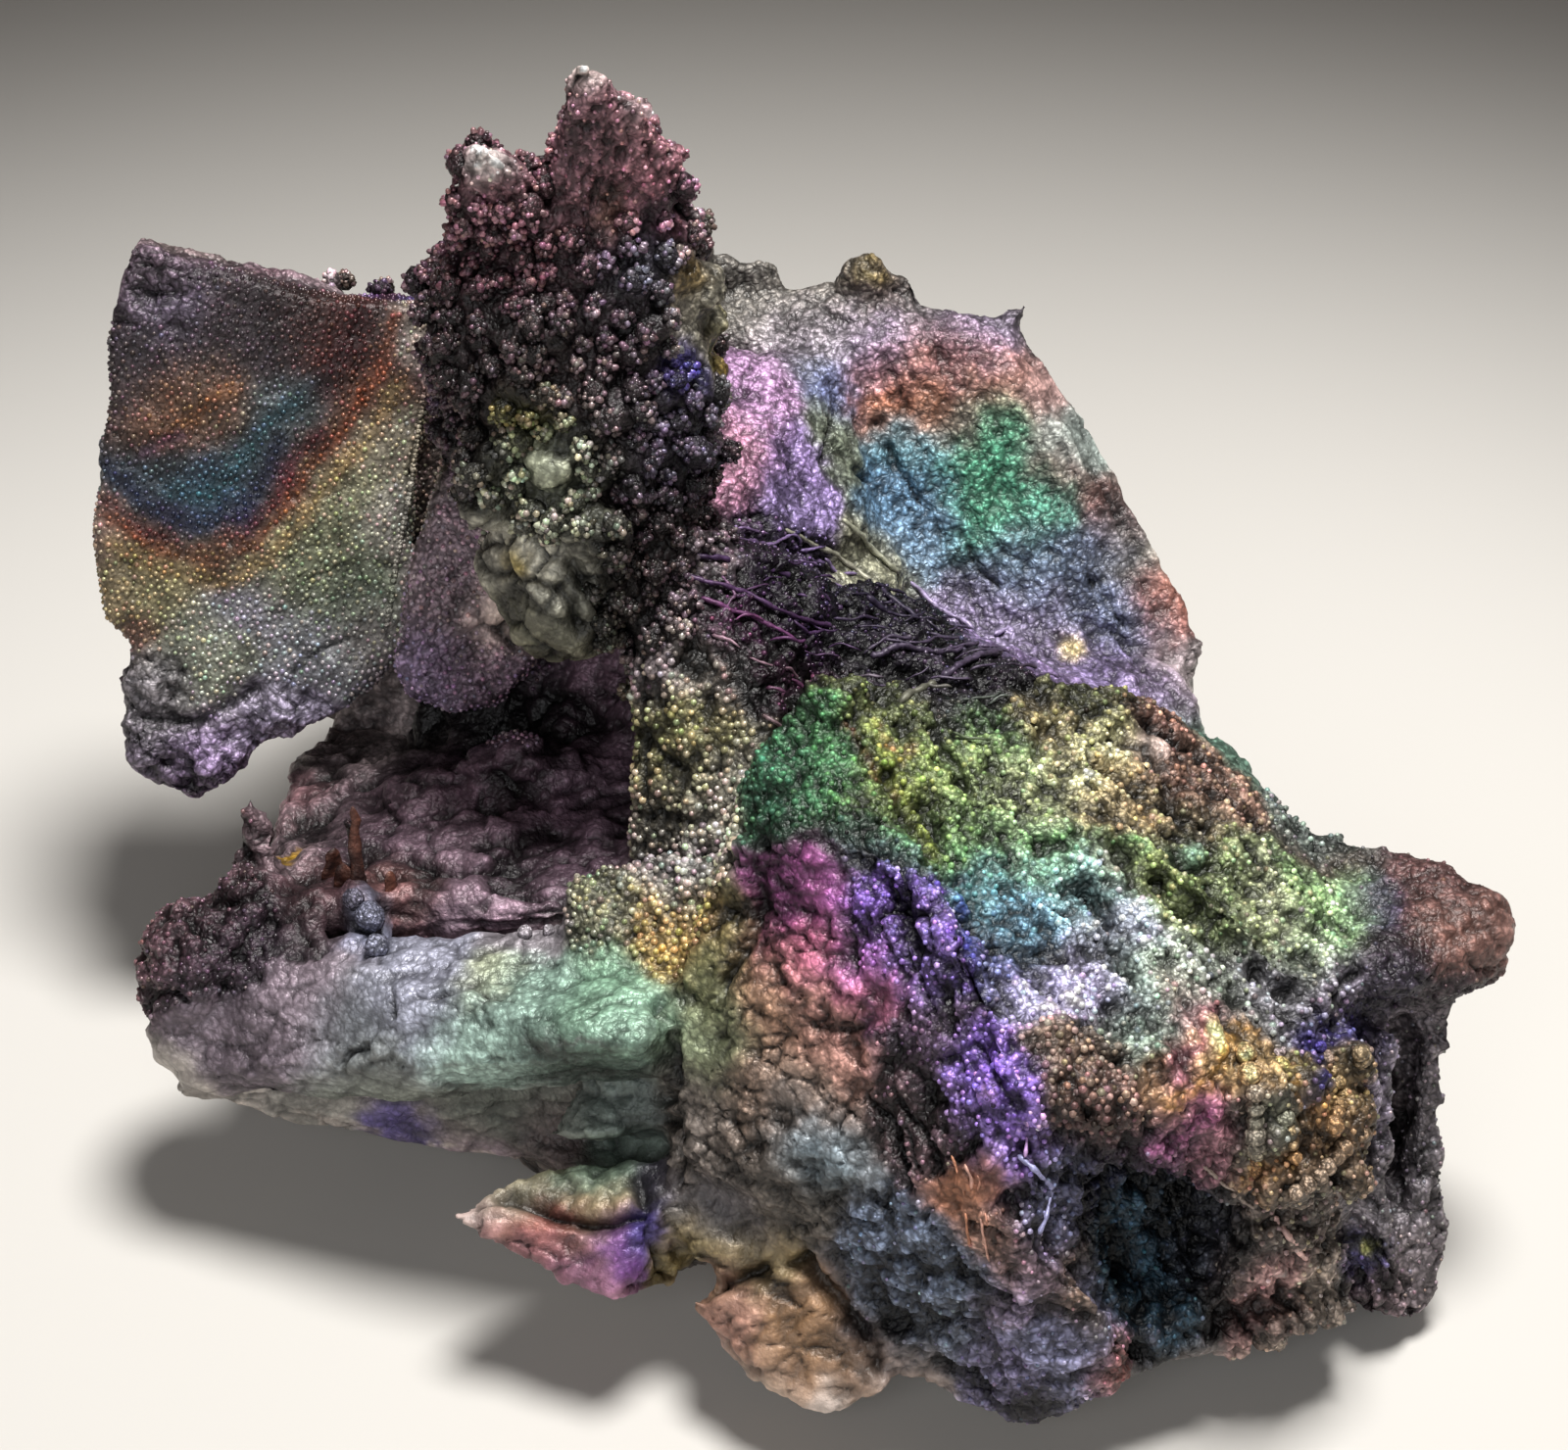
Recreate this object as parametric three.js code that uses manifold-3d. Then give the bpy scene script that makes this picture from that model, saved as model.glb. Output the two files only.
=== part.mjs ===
// A hand specimen of iridescent hematite on quartz: plate and box shaped crystals grown through
// each other, with a drusy crust, a knobbly column with two spires, an open cave and hollows.
// Millimetres, +Z up, +Y away from the side that shows the plates. The origin is on the surface
// that the specimen stands on, under the middle of its outline.

import * as THREE from 'three';
import { ConvexGeometry } from 'three/addons/geometries/ConvexGeometry.js';
import { ImprovedNoise } from 'three/addons/math/ImprovedNoise.js';
import { mergeVertices } from 'three/addons/utils/BufferGeometryUtils.js';
import Module from 'manifold-3d';

const wasm = await Module();
wasm.setup();

// Driving dimensions
const facetLength = 7.5; // longest edge on the big crystal faces
const footFacetLength = 10; // longest edge on the broken foot
const footRelief = 0.8;
const fineFacetLength = 4; // longest edge on spires, shards and lips
const shortestEdge = 0.6; // shorter edges, which the joins leave, are taken out of the skin
const skinPasses = 4; // how many times the skin is cleaned of them
const turnRounds = 12; // most rounds of turning edges on one skin
const flatCosine = 0.9995; // two triangles at less than this angle count as one flat face
const nearlyFlatCosine = 0.995; // the same on the joined skin, which is rougher
const weldDistance = 1e-4; // corners closer than this are one corner
const leastDoubleArea = 1e-3; // twice the area under which a triangle is a sliver, mm2
const soundDoubleArea = 0.04; // twice the area from which a triangle's own side is trusted
const leastTurnCosine = 0.5; // a face may turn by up to 60 degrees when an edge closes
const crustRelief = 0.4; // how far the crust rises and falls on the big faces
const crustWave = 7; // distance from one swell of the crust to the next
const leftPlateThickness = 7;
const narrowPlateThickness = 6;
const knobbedFacetLength = 2.6; // longest edge on the column, whose skin is all small lumps
const knobbedRelief = 0.75;
const knobbedWave = 3;
const wallThickness = 8.4; // the thin wall at the right, with the stone that it grows from
const knobSmall = 1.6; // radii of the round lumps on the column
const knobLarge = 2.4;
const knobSpacing = 4.2;

// Where most of the crusted faces look: up and a little to the front
const faceUp = new THREE.Vector3(0, -0.45, 0.89);

const noise = new ImprovedNoise();

// The same run of numbers from 0 to 1 each time, for lumps that are strewn irregularly
let seed = 20417;
function nextRandom() {
  seed = (seed * 16807) % 2147483647;
  return seed / 2147483647;
}

function between(low, high) {
  return low + (high - low) * nextRandom();
}

// Keeps only position, with shared corners merged, so that the skin is one closed sheet
function weld(geometry) {
  geometry.deleteAttribute('normal');
  geometry.deleteAttribute('uv');
  return mergeVertices(geometry, weldDistance);
}

function pointsOf(geometry) {
  const position = geometry.getAttribute('position');
  const list = [];
  for (let i = 0; i < position.count; i++) {
    list.push(new THREE.Vector3().fromBufferAttribute(position, i));
  }
  return list;
}

function trianglesOf(geometry) {
  const index = geometry.getIndex().array;
  const list = [];
  for (let i = 0; i < index.length; i += 3) {
    list.push([index[i], index[i + 1], index[i + 2]]);
  }
  return list;
}

// The two triangles at each edge, found by its ends in order
function edgeOwners(triangles, count) {
  const owners = new Map();
  triangles.forEach(([a, b, c], i) => {
    owners.set(a * count + b, i).set(b * count + c, i).set(c * count + a, i);
  });
  return owners;
}

function angleAt(points, tip, a, b) {
  return points[a].clone().sub(points[tip]).angleTo(points[b].clone().sub(points[tip]));
}

// Turns the edge between two triangles of one flat face wherever that makes them less thin
function relax(points, triangles, flatEnough = flatCosine) {
  const count = points.length;
  const first = new THREE.Vector3();
  const second = new THREE.Vector3();
  for (let round = 0; round < turnRounds; round++) {
    const owners = edgeOwners(triangles, count);
    const turned = new Set();
    triangles.forEach((corners, i) => {
      for (let k = 0; k < 3 && !turned.has(i); k++) {
        const [a, b, c] = [0, 1, 2].map((step) => corners[(k + step) % 3]);
        const j = owners.get(b * count + a);
        if (turned.has(j)) continue;
        const d = triangles[j].find((corner) => corner !== a && corner !== b);
        if (owners.has(c * count + d) || owners.has(d * count + c)) continue;
        THREE.Triangle.getNormal(points[a], points[b], points[c], first);
        THREE.Triangle.getNormal(points[b], points[a], points[d], second);
        if (first.dot(second) < flatEnough) continue;
        if (angleAt(points, c, a, b) + angleAt(points, d, a, b) < Math.PI + 0.01) continue;
        triangles[i] = [c, a, d];
        triangles[j] = [c, d, b];
        turned.add(i).add(j);
      }
    });
    if (turned.size === 0) break;
  }
}

// Halves every edge longer than the limit, for both faces that share it, until none is left
function refine(geometry, longest) {
  const points = pointsOf(geometry);
  let triangles = trianglesOf(geometry);
  let split = true;
  while (split) {
    split = false;
    relax(points, triangles);
    const middles = new Map();
    const middleOf = (a, b) => {
      if (points[a].distanceTo(points[b]) <= longest) return -1;
      const key = a < b ? `${a}_${b}` : `${b}_${a}`;
      if (!middles.has(key)) {
        middles.set(key, points.length);
        points.push(points[a].clone().lerp(points[b], 0.5));
      }
      return middles.get(key);
    };
    const finer = [];
    for (const corners of triangles) {
      const mids = [0, 1, 2].map((i) => middleOf(corners[i], corners[(i + 1) % 3]));
      const count = mids.filter((m) => m >= 0).length;
      if (count === 0) {
        finer.push(corners);
        continue;
      }
      split = true;
      // Turned so that the first edge is split, and with two split edges the last one is whole
      let turn = mids.findIndex((m) => m >= 0);
      if (count === 2) turn = (mids.findIndex((m) => m < 0) + 1) % 3;
      const [a, b, c] = [0, 1, 2].map((i) => corners[(i + turn) % 3]);
      const [ab, bc, ca] = [0, 1, 2].map((i) => mids[(i + turn) % 3]);
      if (count === 1) finer.push([a, ab, c], [ab, b, c]);
      if (count === 2) finer.push([ab, b, bc], [a, ab, bc], [a, bc, c]);
      if (count === 3) finer.push([a, ab, ca], [ab, b, bc], [ca, bc, c], [ab, bc, ca]);
    }
    triangles = finer;
  }
  const fine = new THREE.BufferGeometry().setFromPoints(points);
  fine.setIndex(triangles.flat());
  return fine;
}

// Moves each point of the skin in or out along its normal by smooth noise
function roughen(geometry, relief, wave = crustWave) {
  geometry.computeVertexNormals();
  const position = geometry.getAttribute('position');
  const normal = geometry.getAttribute('normal');
  const p = new THREE.Vector3();
  const n = new THREE.Vector3();
  for (let i = 0; i < position.count; i++) {
    p.fromBufferAttribute(position, i);
    n.fromBufferAttribute(normal, i);
    const swell = noise.noise(p.x / wave, p.y / wave, p.z / wave);
    const ripple = noise.noise((p.z * 2.3) / wave, (p.x * 2.3) / wave, (p.y * 2.3) / wave);
    p.addScaledVector(n, relief * (1.4 * swell + 0.8 * ripple));
    position.setXYZ(i, p.x, p.y, p.z);
  }
  geometry.deleteAttribute('normal');
  return geometry;
}

function toSolid(geometry) {
  const position = geometry.getAttribute('position');
  return new wasm.Manifold(new wasm.Mesh({
    numProp: 3,
    vertProperties: new Float32Array(position.array),
    triVerts: new Uint32Array(geometry.getIndex().array),
  }));
}

function hull(corners) {
  return weld(new ConvexGeometry(corners.map((c) => new THREE.Vector3(...c))));
}

// A crystal block, given by its corners
function block(corners, facet = facetLength, relief = crustRelief, wave = crustWave) {
  return toSolid(roughen(refine(hull(corners), facet), relief, wave));
}

// A plate, given by the outline of its front face, clockwise as seen from the front
function plate(outline, thickness, facet = facetLength, relief = crustRelief) {
  const front = outline.map((c) => new THREE.Vector3(...c));
  const count = front.length;
  const backward = new THREE.Vector3();
  front.forEach((p, i) => backward.add(p.clone().cross(front[(i + 1) % count])));
  backward.normalize();
  const across = new THREE.Vector3(1, 0, 0).addScaledVector(backward, -backward.x).normalize();
  const upward = across.clone().cross(backward);
  const flat = front.map((p) => new THREE.Vector2(p.dot(across), p.dot(upward)));
  const triangles = [];
  for (const [a, b, c] of THREE.ShapeUtils.triangulateShape(flat, [])) {
    const side = front[b].clone().sub(front[a]).cross(front[c].clone().sub(front[a]));
    const [u, v] = side.dot(backward) < 0 ? [b, c] : [c, b];
    triangles.push([a, u, v], [a + count, v + count, u + count]);
  }
  front.forEach((p, i) => {
    const j = (i + 1) % count;
    triangles.push([i, j, j + count], [i, j + count, i + count]);
  });
  const back = front.map((p) => p.clone().addScaledVector(backward, thickness));
  const geometry = new THREE.BufferGeometry().setFromPoints([...front, ...back]);
  geometry.setIndex(triangles.flat());
  return toSolid(roughen(refine(geometry, facet), relief));
}

// A round or drawn out lump
function lump(centre, radii, detail = Math.max(...radii) < 2.4 ? 0 : 1, relief = 0.3) {
  const ball = new THREE.IcosahedronGeometry(1, detail);
  ball.rotateX(centre[0] * 1.7 + centre[2]);
  ball.rotateZ(centre[1] * 2.1 + centre[0]);
  ball.scale(...radii);
  ball.translate(...centre);
  return toSolid(roughen(weld(ball), relief, 3));
}

// A low ridge on a face, with a sharp crest, from one point of the face to another
function ridge(from, to, width, height) {
  return block(strip(from, to, width, height, -1.2), facetLength, 0.1);
}

// The shape of a narrow groove, wider at its mouth, which is above the face
function groove(from, to, width, depth) {
  return hull(strip(from, to, width, -depth, 1.6));
}

// Corners of a wedge along a line: two crest points, and a flat side with four points
function strip(from, to, width, crest, foot) {
  const a = new THREE.Vector3(...from);
  const b = new THREE.Vector3(...to);
  const along = b.clone().sub(a).normalize();
  const side = along.clone().cross(faceUp).normalize();
  const out = side.clone().cross(along);
  const at = (p, sideways, outward, lengthways) => p.clone()
    .addScaledVector(side, sideways)
    .addScaledVector(out, outward)
    .addScaledVector(along, lengthways)
    .toArray();
  const half = width / 2;
  return [
    at(a, half, foot, 0), at(a, -half, foot, 0), at(b, half, foot, 0), at(b, -half, foot, 0),
    at(a, 0, crest, half), at(b, 0, crest, -half),
  ];
}

// All the solids grown together as one
function join(solids) {
  return solids.reduce((whole, solid) => whole.add(solid));
}

// The wide plate on the left, which leans back, and the narrow one beside it
function leftPlates() {
  return [
    plate([
      [-41.2, 24.4, 49.2], [-34, 24, 47.2], [-28.5, 23.7, 45.6], [-23.1, 23.9, 45.1],
      [-22.5, 21.5, 40.5], [-23.7, 19, 35.7], [-25.2, 14.4, 27.2], [-26.2, 12.5, 23.8],
      [-29.5, 11, 21.4], [-34.5, 9.7, 19.7], [-36, 8.6, 17.9], [-38.5, 7.8, 16.8],
      [-41, 8.1, 17.9], [-43, 8.8, 19.5], [-43.1, 11.2, 24.1], [-42.3, 12.4, 26.4],
      [-43.7, 12.9, 27.6], [-44.7, 15.4, 32.5], [-43.2, 19.4, 40], [-42.8, 21.4, 43.8],
    ], leftPlateThickness),
    plate([
      [-21.8, 17.5, 41.5], [-15, 17.5, 42], [-15, 13, 33], [-16.2, 10, 26.5],
      [-18.5, 8.8, 23.9], [-21, 8.6, 23.6], [-24, 9, 24.1], [-25.2, 10, 25.9],
      [-24.2, 12.5, 30], [-22.8, 15.5, 36],
    ], narrowPlateThickness),
    // Lumps along the lower edge of the wide plate
    lump([-41, 10.4, 20], [2.5, 2, 2.3]),
    lump([-37.6, 9.8, 18.9], [2.6, 2, 1.8]),
    lump([-40.4, 12, 23.4], [2.2, 1.6, 1.8]),
    lump([-33.4, 11.6, 21.6], [2.6, 1.8, 1.6]),
    lump([-28, 13.6, 24], [2.4, 1.8, 1.8]),
  ];
}

// What the plates stand on at the back, with two small points that show over the wide plate
function rearBlocks() {
  return [
    block([
      [-31, 20, 10], [-31.5, 24, 33], [-31, 30, 38], [-30, 36, 36], [-24, 38, 33],
      [-8, 38, 36], [-5, 34, 41], [-6, 24, 47], [-20, 24, 44], [-24, 29, 40.5],
      [-6, 18, 10], [-8, 36, 10], [-28, 34, 10],
    ]),
    block([
      [-31.2, 32.5, 37], [-27.8, 32.5, 37], [-28.2, 36, 36], [-31, 35.5, 36], [-29.6, 34, 41.4],
      [-30.2, 34.2, 40.8],
    ], fineFacetLength, 0.2),
    lump([-26.4, 33.6, 38.4], [1.3, 1.3, 1.9]),
    // Plate and box shaped crystals that cross at the back
    plate([
      [-12, 39.5, 31], [-27, 37.5, 35], [-31, 36, 22], [-24, 37, 7], [-13, 39, 10],
    ], 5),
    plate([
      [7, 38.5, 37], [-6, 41, 33], [-8, 41.5, 12], [0, 40, 6], [9, 38, 10],
    ], 6),
    block([
      [-5, 30, 46], [-10, 32, 47], [-13, 38, 36], [-5, 39, 38], [-4, 36, 24], [-12, 36, 22],
    ]),
    block([
      [-37, 26, 20], [-31, 31, 26], [-26, 33, 12], [-32, 28, 8], [-36, 24, 12], [-28, 22, 22],
      [-28, 24, 8],
    ]),
    lump([-18, 36.8, 35.4], [3.4, 2.4, 2.6]),
    lump([-8.6, 38.6, 20], [3, 2, 4]),
    lump([14, 34.6, 22], [4.4, 2.8, 3.8]),
  ];
}

const trunk = [
  [-20.3, 10, 54], [-18.5, 9.5, 59.5], [-17.5, 10, 62], [-13.5, 9, 60.5], [-9, 10, 60.5],
  [-5.8, 12, 58.5], [-5, 11, 54.5], [-4, 9, 49], [-20.2, 9, 50], [-17.2, 4, 44],
  [-16.6, 3, 40], [-15.5, 3, 36.5], [-13, 3, 34.5], [-9.5, 3.5, 35.5], [-6.5, 6, 40],
  [-11, 1.8, 42], [-11, 3.6, 48], [-20, 20, 34], [-5, 22, 34], [-20, 20, 52],
  [-6, 22, 50], [-7, 19, 56], [-16, 18, 58],
];

// Lumps strewn over the column where lines from the given side meet it
function knobs(from, toward, sideways, upward, columns, rows) {
  const target = new THREE.Mesh(hull(trunk));
  const direction = new THREE.Vector3(...toward);
  const across = new THREE.Vector3(...sideways);
  const up = new THREE.Vector3(...upward);
  const found = [];
  for (let row = 0; row < rows; row++) {
    for (let column = 0; column < columns; column++) {
      const shift = row % 2 ? 0.5 : 0;
      const start = new THREE.Vector3(...from)
        .addScaledVector(across, (column + shift + between(-0.3, 0.3)) * knobSpacing)
        .addScaledVector(up, (row + between(-0.3, 0.3)) * knobSpacing * 0.9);
      const radius = between(knobSmall, knobLarge);
      const hit = new THREE.Raycaster(start, direction).intersectObject(target)[0];
      if (hit) found.push(lump(hit.point.toArray(), [radius, radius, radius * 0.9], 0, 0.1));
    }
  }
  return found;
}

// Ridges, each given by its two ends, width and height
const lilacRidge = [[[0.4, 27.4, 37.6], [0.6, 18.6, 33.2], 1.8, 0.9]];
const furrowStrands = [
  [[-5.6, 8.4, 38], [1.6, 8.6, 34.8], 1.2, 1],
  [[-6.4, 5.6, 37.2], [3, 6, 34.2], 1.2, 1],
  [[4, 9.6, 33], [12.6, 7.6, 28.8], 1.2, 1.2],
  [[5.6, 5, 32.4], [13.8, 8.8, 27.6], 1.2, 1.2],
];
const violetRidge = [
  [[5.4, -14.6, 33.4], [10.6, -22.4, 31], 2.6, 0.7],
  [[10.6, -22.6, 30.8], [13.8, -28.8, 24.8], 3, 1],
  [[13.8, -28.6, 24.8], [14, -31.8, 17], 2.6, 0.8],
];
const topRidges = [
  [[2.6, -5, 35.6], [8.4, -9.8, 33.4], 2, 0.9],
  [[5.6, -4.4, 35], [12.8, -12.4, 31.4], 1.8, 0.8],
  [[12.8, -6, 32], [18.6, -13.4, 30.3], 1.6, 0.8],
  [[17.6, -4.4, 32.6], [20.2, -11, 30.8], 1.8, 0.9],
  [[20.6, -10.8, 30.6], [30, -18.4, 26.2], 1.6, 0.9],
];
const stripes = [
  [[20.8, -23.2, 27.2], [22.7, -27.2, 22.8], 1.3, 1],
  [[22.3, -22, 27.2], [24.4, -26.4, 22.8], 1.3, 1],
  [[23.8, -20.6, 27], [26, -25.2, 23.4], 1.3, 1],
];

function ridges(list) {
  return list.map(([from, to, width, height]) => ridge(from, to, width, height));
}

// The knobbly column with its two spires and the cracked boulder at its lower end
function column() {
  return [
    block(trunk, knobbedFacetLength, knobbedRelief, knobbedWave),
    // Left spire, blunt
    block([
      [-19, 9, 57], [-13, 8.5, 58], [-13, 14, 58], [-19, 14, 57], [-18.6, 8.5, 60.5],
      [-13.8, 8.2, 61.2], [-18.1, 8.4, 64.3], [-16.9, 8, 65.5], [-15.2, 8.2, 64.7],
      [-15.6, 10.4, 63.8], [-17.8, 10.6, 63.9],
    ], fineFacetLength, 0.3),
    // Tall spire with a shoulder on its right
    block([
      [-13.2, 9, 58], [-12.7, 8.8, 66], [-11.8, 8.2, 70.4], [-11.3, 8.1, 71.2],
      [-10.5, 8.3, 70.3], [-8.2, 9, 67.4], [-7.3, 9.8, 63.2], [-5.4, 11, 60.4],
      [-13, 15, 58], [-6.5, 17, 58], [-8.4, 12.5, 65.5], [-11.4, 10.6, 69],
    ], fineFacetLength, 0.3),
    lump([-7.9, 10, 67], [0.9, 0.9, 1]),
    lump([-6.4, 11, 63], [1.1, 1.1, 1.2]),
    // The boulder
    lump([-13.3, 3.4, 37.4], [4.1, 3.6, 4.2], 1, 0.5),
    lump([-9.4, 4.2, 37], [2.8, 2.6, 2.8], 1),
    ...knobs([-20.5, -12, 39], [0, 1, 0], [1, 0, 0], [0, 0, 1], 4, 5),
    ...knobs([-40, 9, 45], [1, 0, 0], [0, 1, 0], [0, 0, 1], 2, 3),
    ...knobs([20, 13, 47], [-1, 0, 0], [0, 1, 0], [0, 0, 1], 2, 3),
  ];
}

// The big tilted plate at the back, with its bevelled top edge, and the slope below it
function backPlate() {
  return [
    block([
      [-5.2, 30, 38.6], [13, 30, 38.6], [16.9, 27.8, 35.8], [20.2, 25, 32.2],
      [22.9, 21.4, 27.6], [25.2, 18.2, 23.5], [26.3, 15.4, 19.9], [15, 15, 19.3],
      [-2.6, 17, 22], [-5.3, 34.5, 40.1], [0, 35, 40], [15.8, 33, 38.3],
      [19.6, 29, 34], [22.8, 25, 29.7], [25.4, 22, 27], [27.6, 20, 24.4],
      [28, 18, 21.8], [27, 14, 18], [-5, 38, 32], [12, 37, 31], [17, 33.6, 28],
      [23, 27, 18], [25, 20, 9], [-4, 36, 8], [10, 36, 7], [21, 28, 8], [23, 12, 8],
    ]),
    ...ridges(lilacRidge),
    // The left part of the face turns forward, towards the column
    block([
      [-5.3, 28, 40], [3.9, 29.2, 38], [5.4, 25, 33], [5.6, 19.4, 30.6], [-0.6, 15.4, 31.9],
      [-5.4, 19.6, 37.6], [-6, 10, 36.6], [-6, 10, 24], [8, 20, 22], [-5, 30, 30],
    ]),
    // Knobs and the corner spike on the top edge
    lump([5.6, 34, 40.4], [2, 1.8, 2.3]),
    lump([8, 34.4, 39.8], [1.5, 1.3, 1.5]),
    lump([-1.2, 35, 40.8], [1.4, 1.2, 1.3]),
    lump([-3.6, 35, 40.9], [1.5, 1.2, 1.1]),
    block([
      [13.6, 33, 38.2], [15, 31.5, 38], [16.4, 33.4, 37.6], [14.5, 34.6, 37.4],
      [16.6, 32.8, 40],
    ], fineFacetLength, 0.15),
    // Steps down the pale broken edge
    block([
      [24, 22, 26], [28.4, 18.4, 22.6], [28.6, 16, 17], [26, 12, 12], [22, 14, 12],
      [24, 24, 16], [27.6, 21, 17],
    ], fineFacetLength, 0.4),
  ];
}

// The slope from the column down to the cave, and the dark furrow before the back plate
function slope() {
  return [
    block([
      [-6, 7.5, 39.4], [-8.6, 2, 36], [-9.4, -4, 25], [-8.6, -8, 20], [-3.5, -8, 26.2],
      [-0.6, -3, 33.4], [1, 4, 34.8], [3, 10, 34], [-0.6, 14, 33.4], [-9, 8, 28],
      [-9, 4, 12], [6, -4, 12], [8, 12, 14],
    ]),
    block([
      [0, 6, 34], [5, 13, 31.4], [14, 9, 26.8], [26, 13, 20], [28, 8, 18], [22, 2, 28],
      [14, 3.5, 28.6], [6, 0, 30], [0, 0, 12], [28, 0, 10], [26, 14, 8], [0, 14, 8],
    ]),
    ...ridges(furrowStrands),
  ];
}

// The big box shaped crystal in front, with the horn on its right
function frontBlock() {
  return [
    // Left front face, up to the violet ridge
    block([
      [-0.6, -6, 35.2], [2.9, -3.2, 36.3], [9, -4, 31], [15, -10, 28.6], [13.6, -27, 28.4],
      [10.8, -22.8, 30.8], [5.5, -15.4, 33.6], [0, -12.2, 32.8], [-2.3, -12.4, 30.6],
      [-6.3, -15.6, 24], [-6.9, -22, 14.8], [3.9, -27.8, 17.2], [11, -30, 22.6],
      [-6, -20, 6], [4, -27, 7], [13, -28.4, 9], [17, 0, 8], [-8, -2, 8], [16, -22, 14],
      [16, -24, 22],
    ]),
    // Top
    block([
      [2.9, -3.2, 36.3], [9, -3, 32.2], [16, -1, 32], [21.3, 0.6, 33], [27, 0.4, 28.6],
      [33, -4, 24.2], [33.6, -17, 25.2], [25.2, -24.5, 25.4], [20.2, -27.4, 23.6],
      [13.8, -26.2, 27.9], [8, -16, 31.8], [30, 8, 12], [34, 0, 6], [33, -16, 8],
      [12, -20, 8], [10, 4, 8],
    ]),
    // Front, below the top edge
    block([
      [11.4, -29.8, 21.6], [13.8, -27.4, 25], [20, -27.6, 21.6], [25, -25.2, 23.4],
      [33, -19, 22.6], [34, -24.6, 5.4], [30.2, -26.6, 4.6], [25.5, -27.6, 4.6],
      [19.2, -30.6, 5.6], [12.8, -32, 7], [33, -6, 6], [12, -6, 6],
    ]),
    // Horn
    block([
      [31, -3, 25], [39.9, -7.5, 26.2], [43.4, -12, 24.4], [43.2, -13.2, 21.5],
      [39.4, -14.2, 20.2], [33.8, -17.6, 24.9], [31, -15, 18], [36, -4, 18], [40, -8, 20],
    ], fineFacetLength, 0.5),
    lump([35, -14.4, 24], [3.4, 2.8, 2.2], 1),
    lump([41, -10.8, 23.8], [2.7, 2.5, 2.3], 1),
    // Peaks along the back of the top
    lump([2.4, -4.4, 35.6], [2.6, 1.8, 1.5]),
    lump([19.6, -1.2, 32.4], [2.6, 1.8, 1.3]),
    lump([-0.2, -7.8, 33.8], [1.8, 1.8, 1.8]),
    // A patch of beads and a striped patch that stand out from the front edge
    block([
      [12.6, -24.8, 29.6], [16.4, -23.4, 29], [20, -25.4, 27.2], [19, -28.4, 24.6],
      [14.3, -28.6, 26], [13, -24, 26], [19, -24, 24], [15, -26, 22], [12.6, -25, 21],
    ], fineFacetLength, 0.5),
    ...ridges([...violetRidge, ...topRidges, ...stripes]),
  ];
}

// Strings of round lumps on the right of the front, by their upper and lower ends
const lumpStrings = [
  [[27.2, -24.4, 24.2], [28.4, -26.6, 18.6]],
  [[30, -23, 23.4], [30.2, -26, 17.4]],
  [[33, -21, 22.6], [32.8, -24.6, 16.6]],
];

// Ribs, lumps and the thin wall that stand in the broken right hand front
function ribs() {
  const strings = lumpStrings.flatMap(([top, bottom]) => [0, 0.5, 1].map((t) => {
    const place = new THREE.Vector3(...top).lerp(new THREE.Vector3(...bottom), t);
    const radius = between(1.5, 1.9);
    return lump(place.toArray(), [radius, radius, radius * 1.1]);
  }));
  return [
    ...strings,
    // The swelling that carries the strings
    block([
      [26.4, -24, 24.6], [33.8, -19.8, 23.2], [33.4, -24.2, 17], [30.4, -25.8, 17.6],
      [28, -26.4, 18.6], [27.4, -20, 16], [33, -18, 16], [27, -20, 22], [33, -16, 22],
    ], fineFacetLength),
    // Thin wall at the right, and the block behind the slot
    plate([
      [38, -13.6, 21.6], [40.2, -14.4, 20.6], [39.8, -17, 12], [40.6, -20, 6], [40.2, -22, 2.4],
      [38.2, -23.4, 1.6], [37.6, -20, 8], [37.6, -17, 14],
    ], wallThickness, fineFacetLength, 0.3),
    block([
      [33.6, -10, 23], [39, -9, 21], [38.8, -12, 3], [33, -10, 2], [35, -15, 2.6],
      [34.4, -15, 20], [32, -4, 8], [36, -2, 10],
    ], facetLength, 0.3),
    // Upright rib left of the slot
    block([
      [34.6, -18, 22.4], [36.2, -18, 21.6], [36, -22.8, 8], [35.6, -24, 3], [37.6, -23.6, 2.4],
      [33.6, -22, 3], [34, -14, 18], [36, -14, 18], [35, -14, 4],
    ], fineFacetLength, 0.3),
    // Bottom rim under the recess
    block([
      [19, -31, 6.6], [25.4, -28.8, 7.2], [30.4, -28, 7.6], [34.4, -26, 6.4], [34, -24, 3.6],
      [26, -26, 3.6], [19.4, -29, 4.6], [22, -24, 8], [32, -23, 9],
    ], fineFacetLength, 0.4),
    block([
      [23.6, -27, 12.6], [29.6, -26.4, 14], [32, -25, 11], [26.6, -27, 8], [24, -20, 12],
      [31, -20, 10],
    ], fineFacetLength, 0.4),
  ];
}

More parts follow.
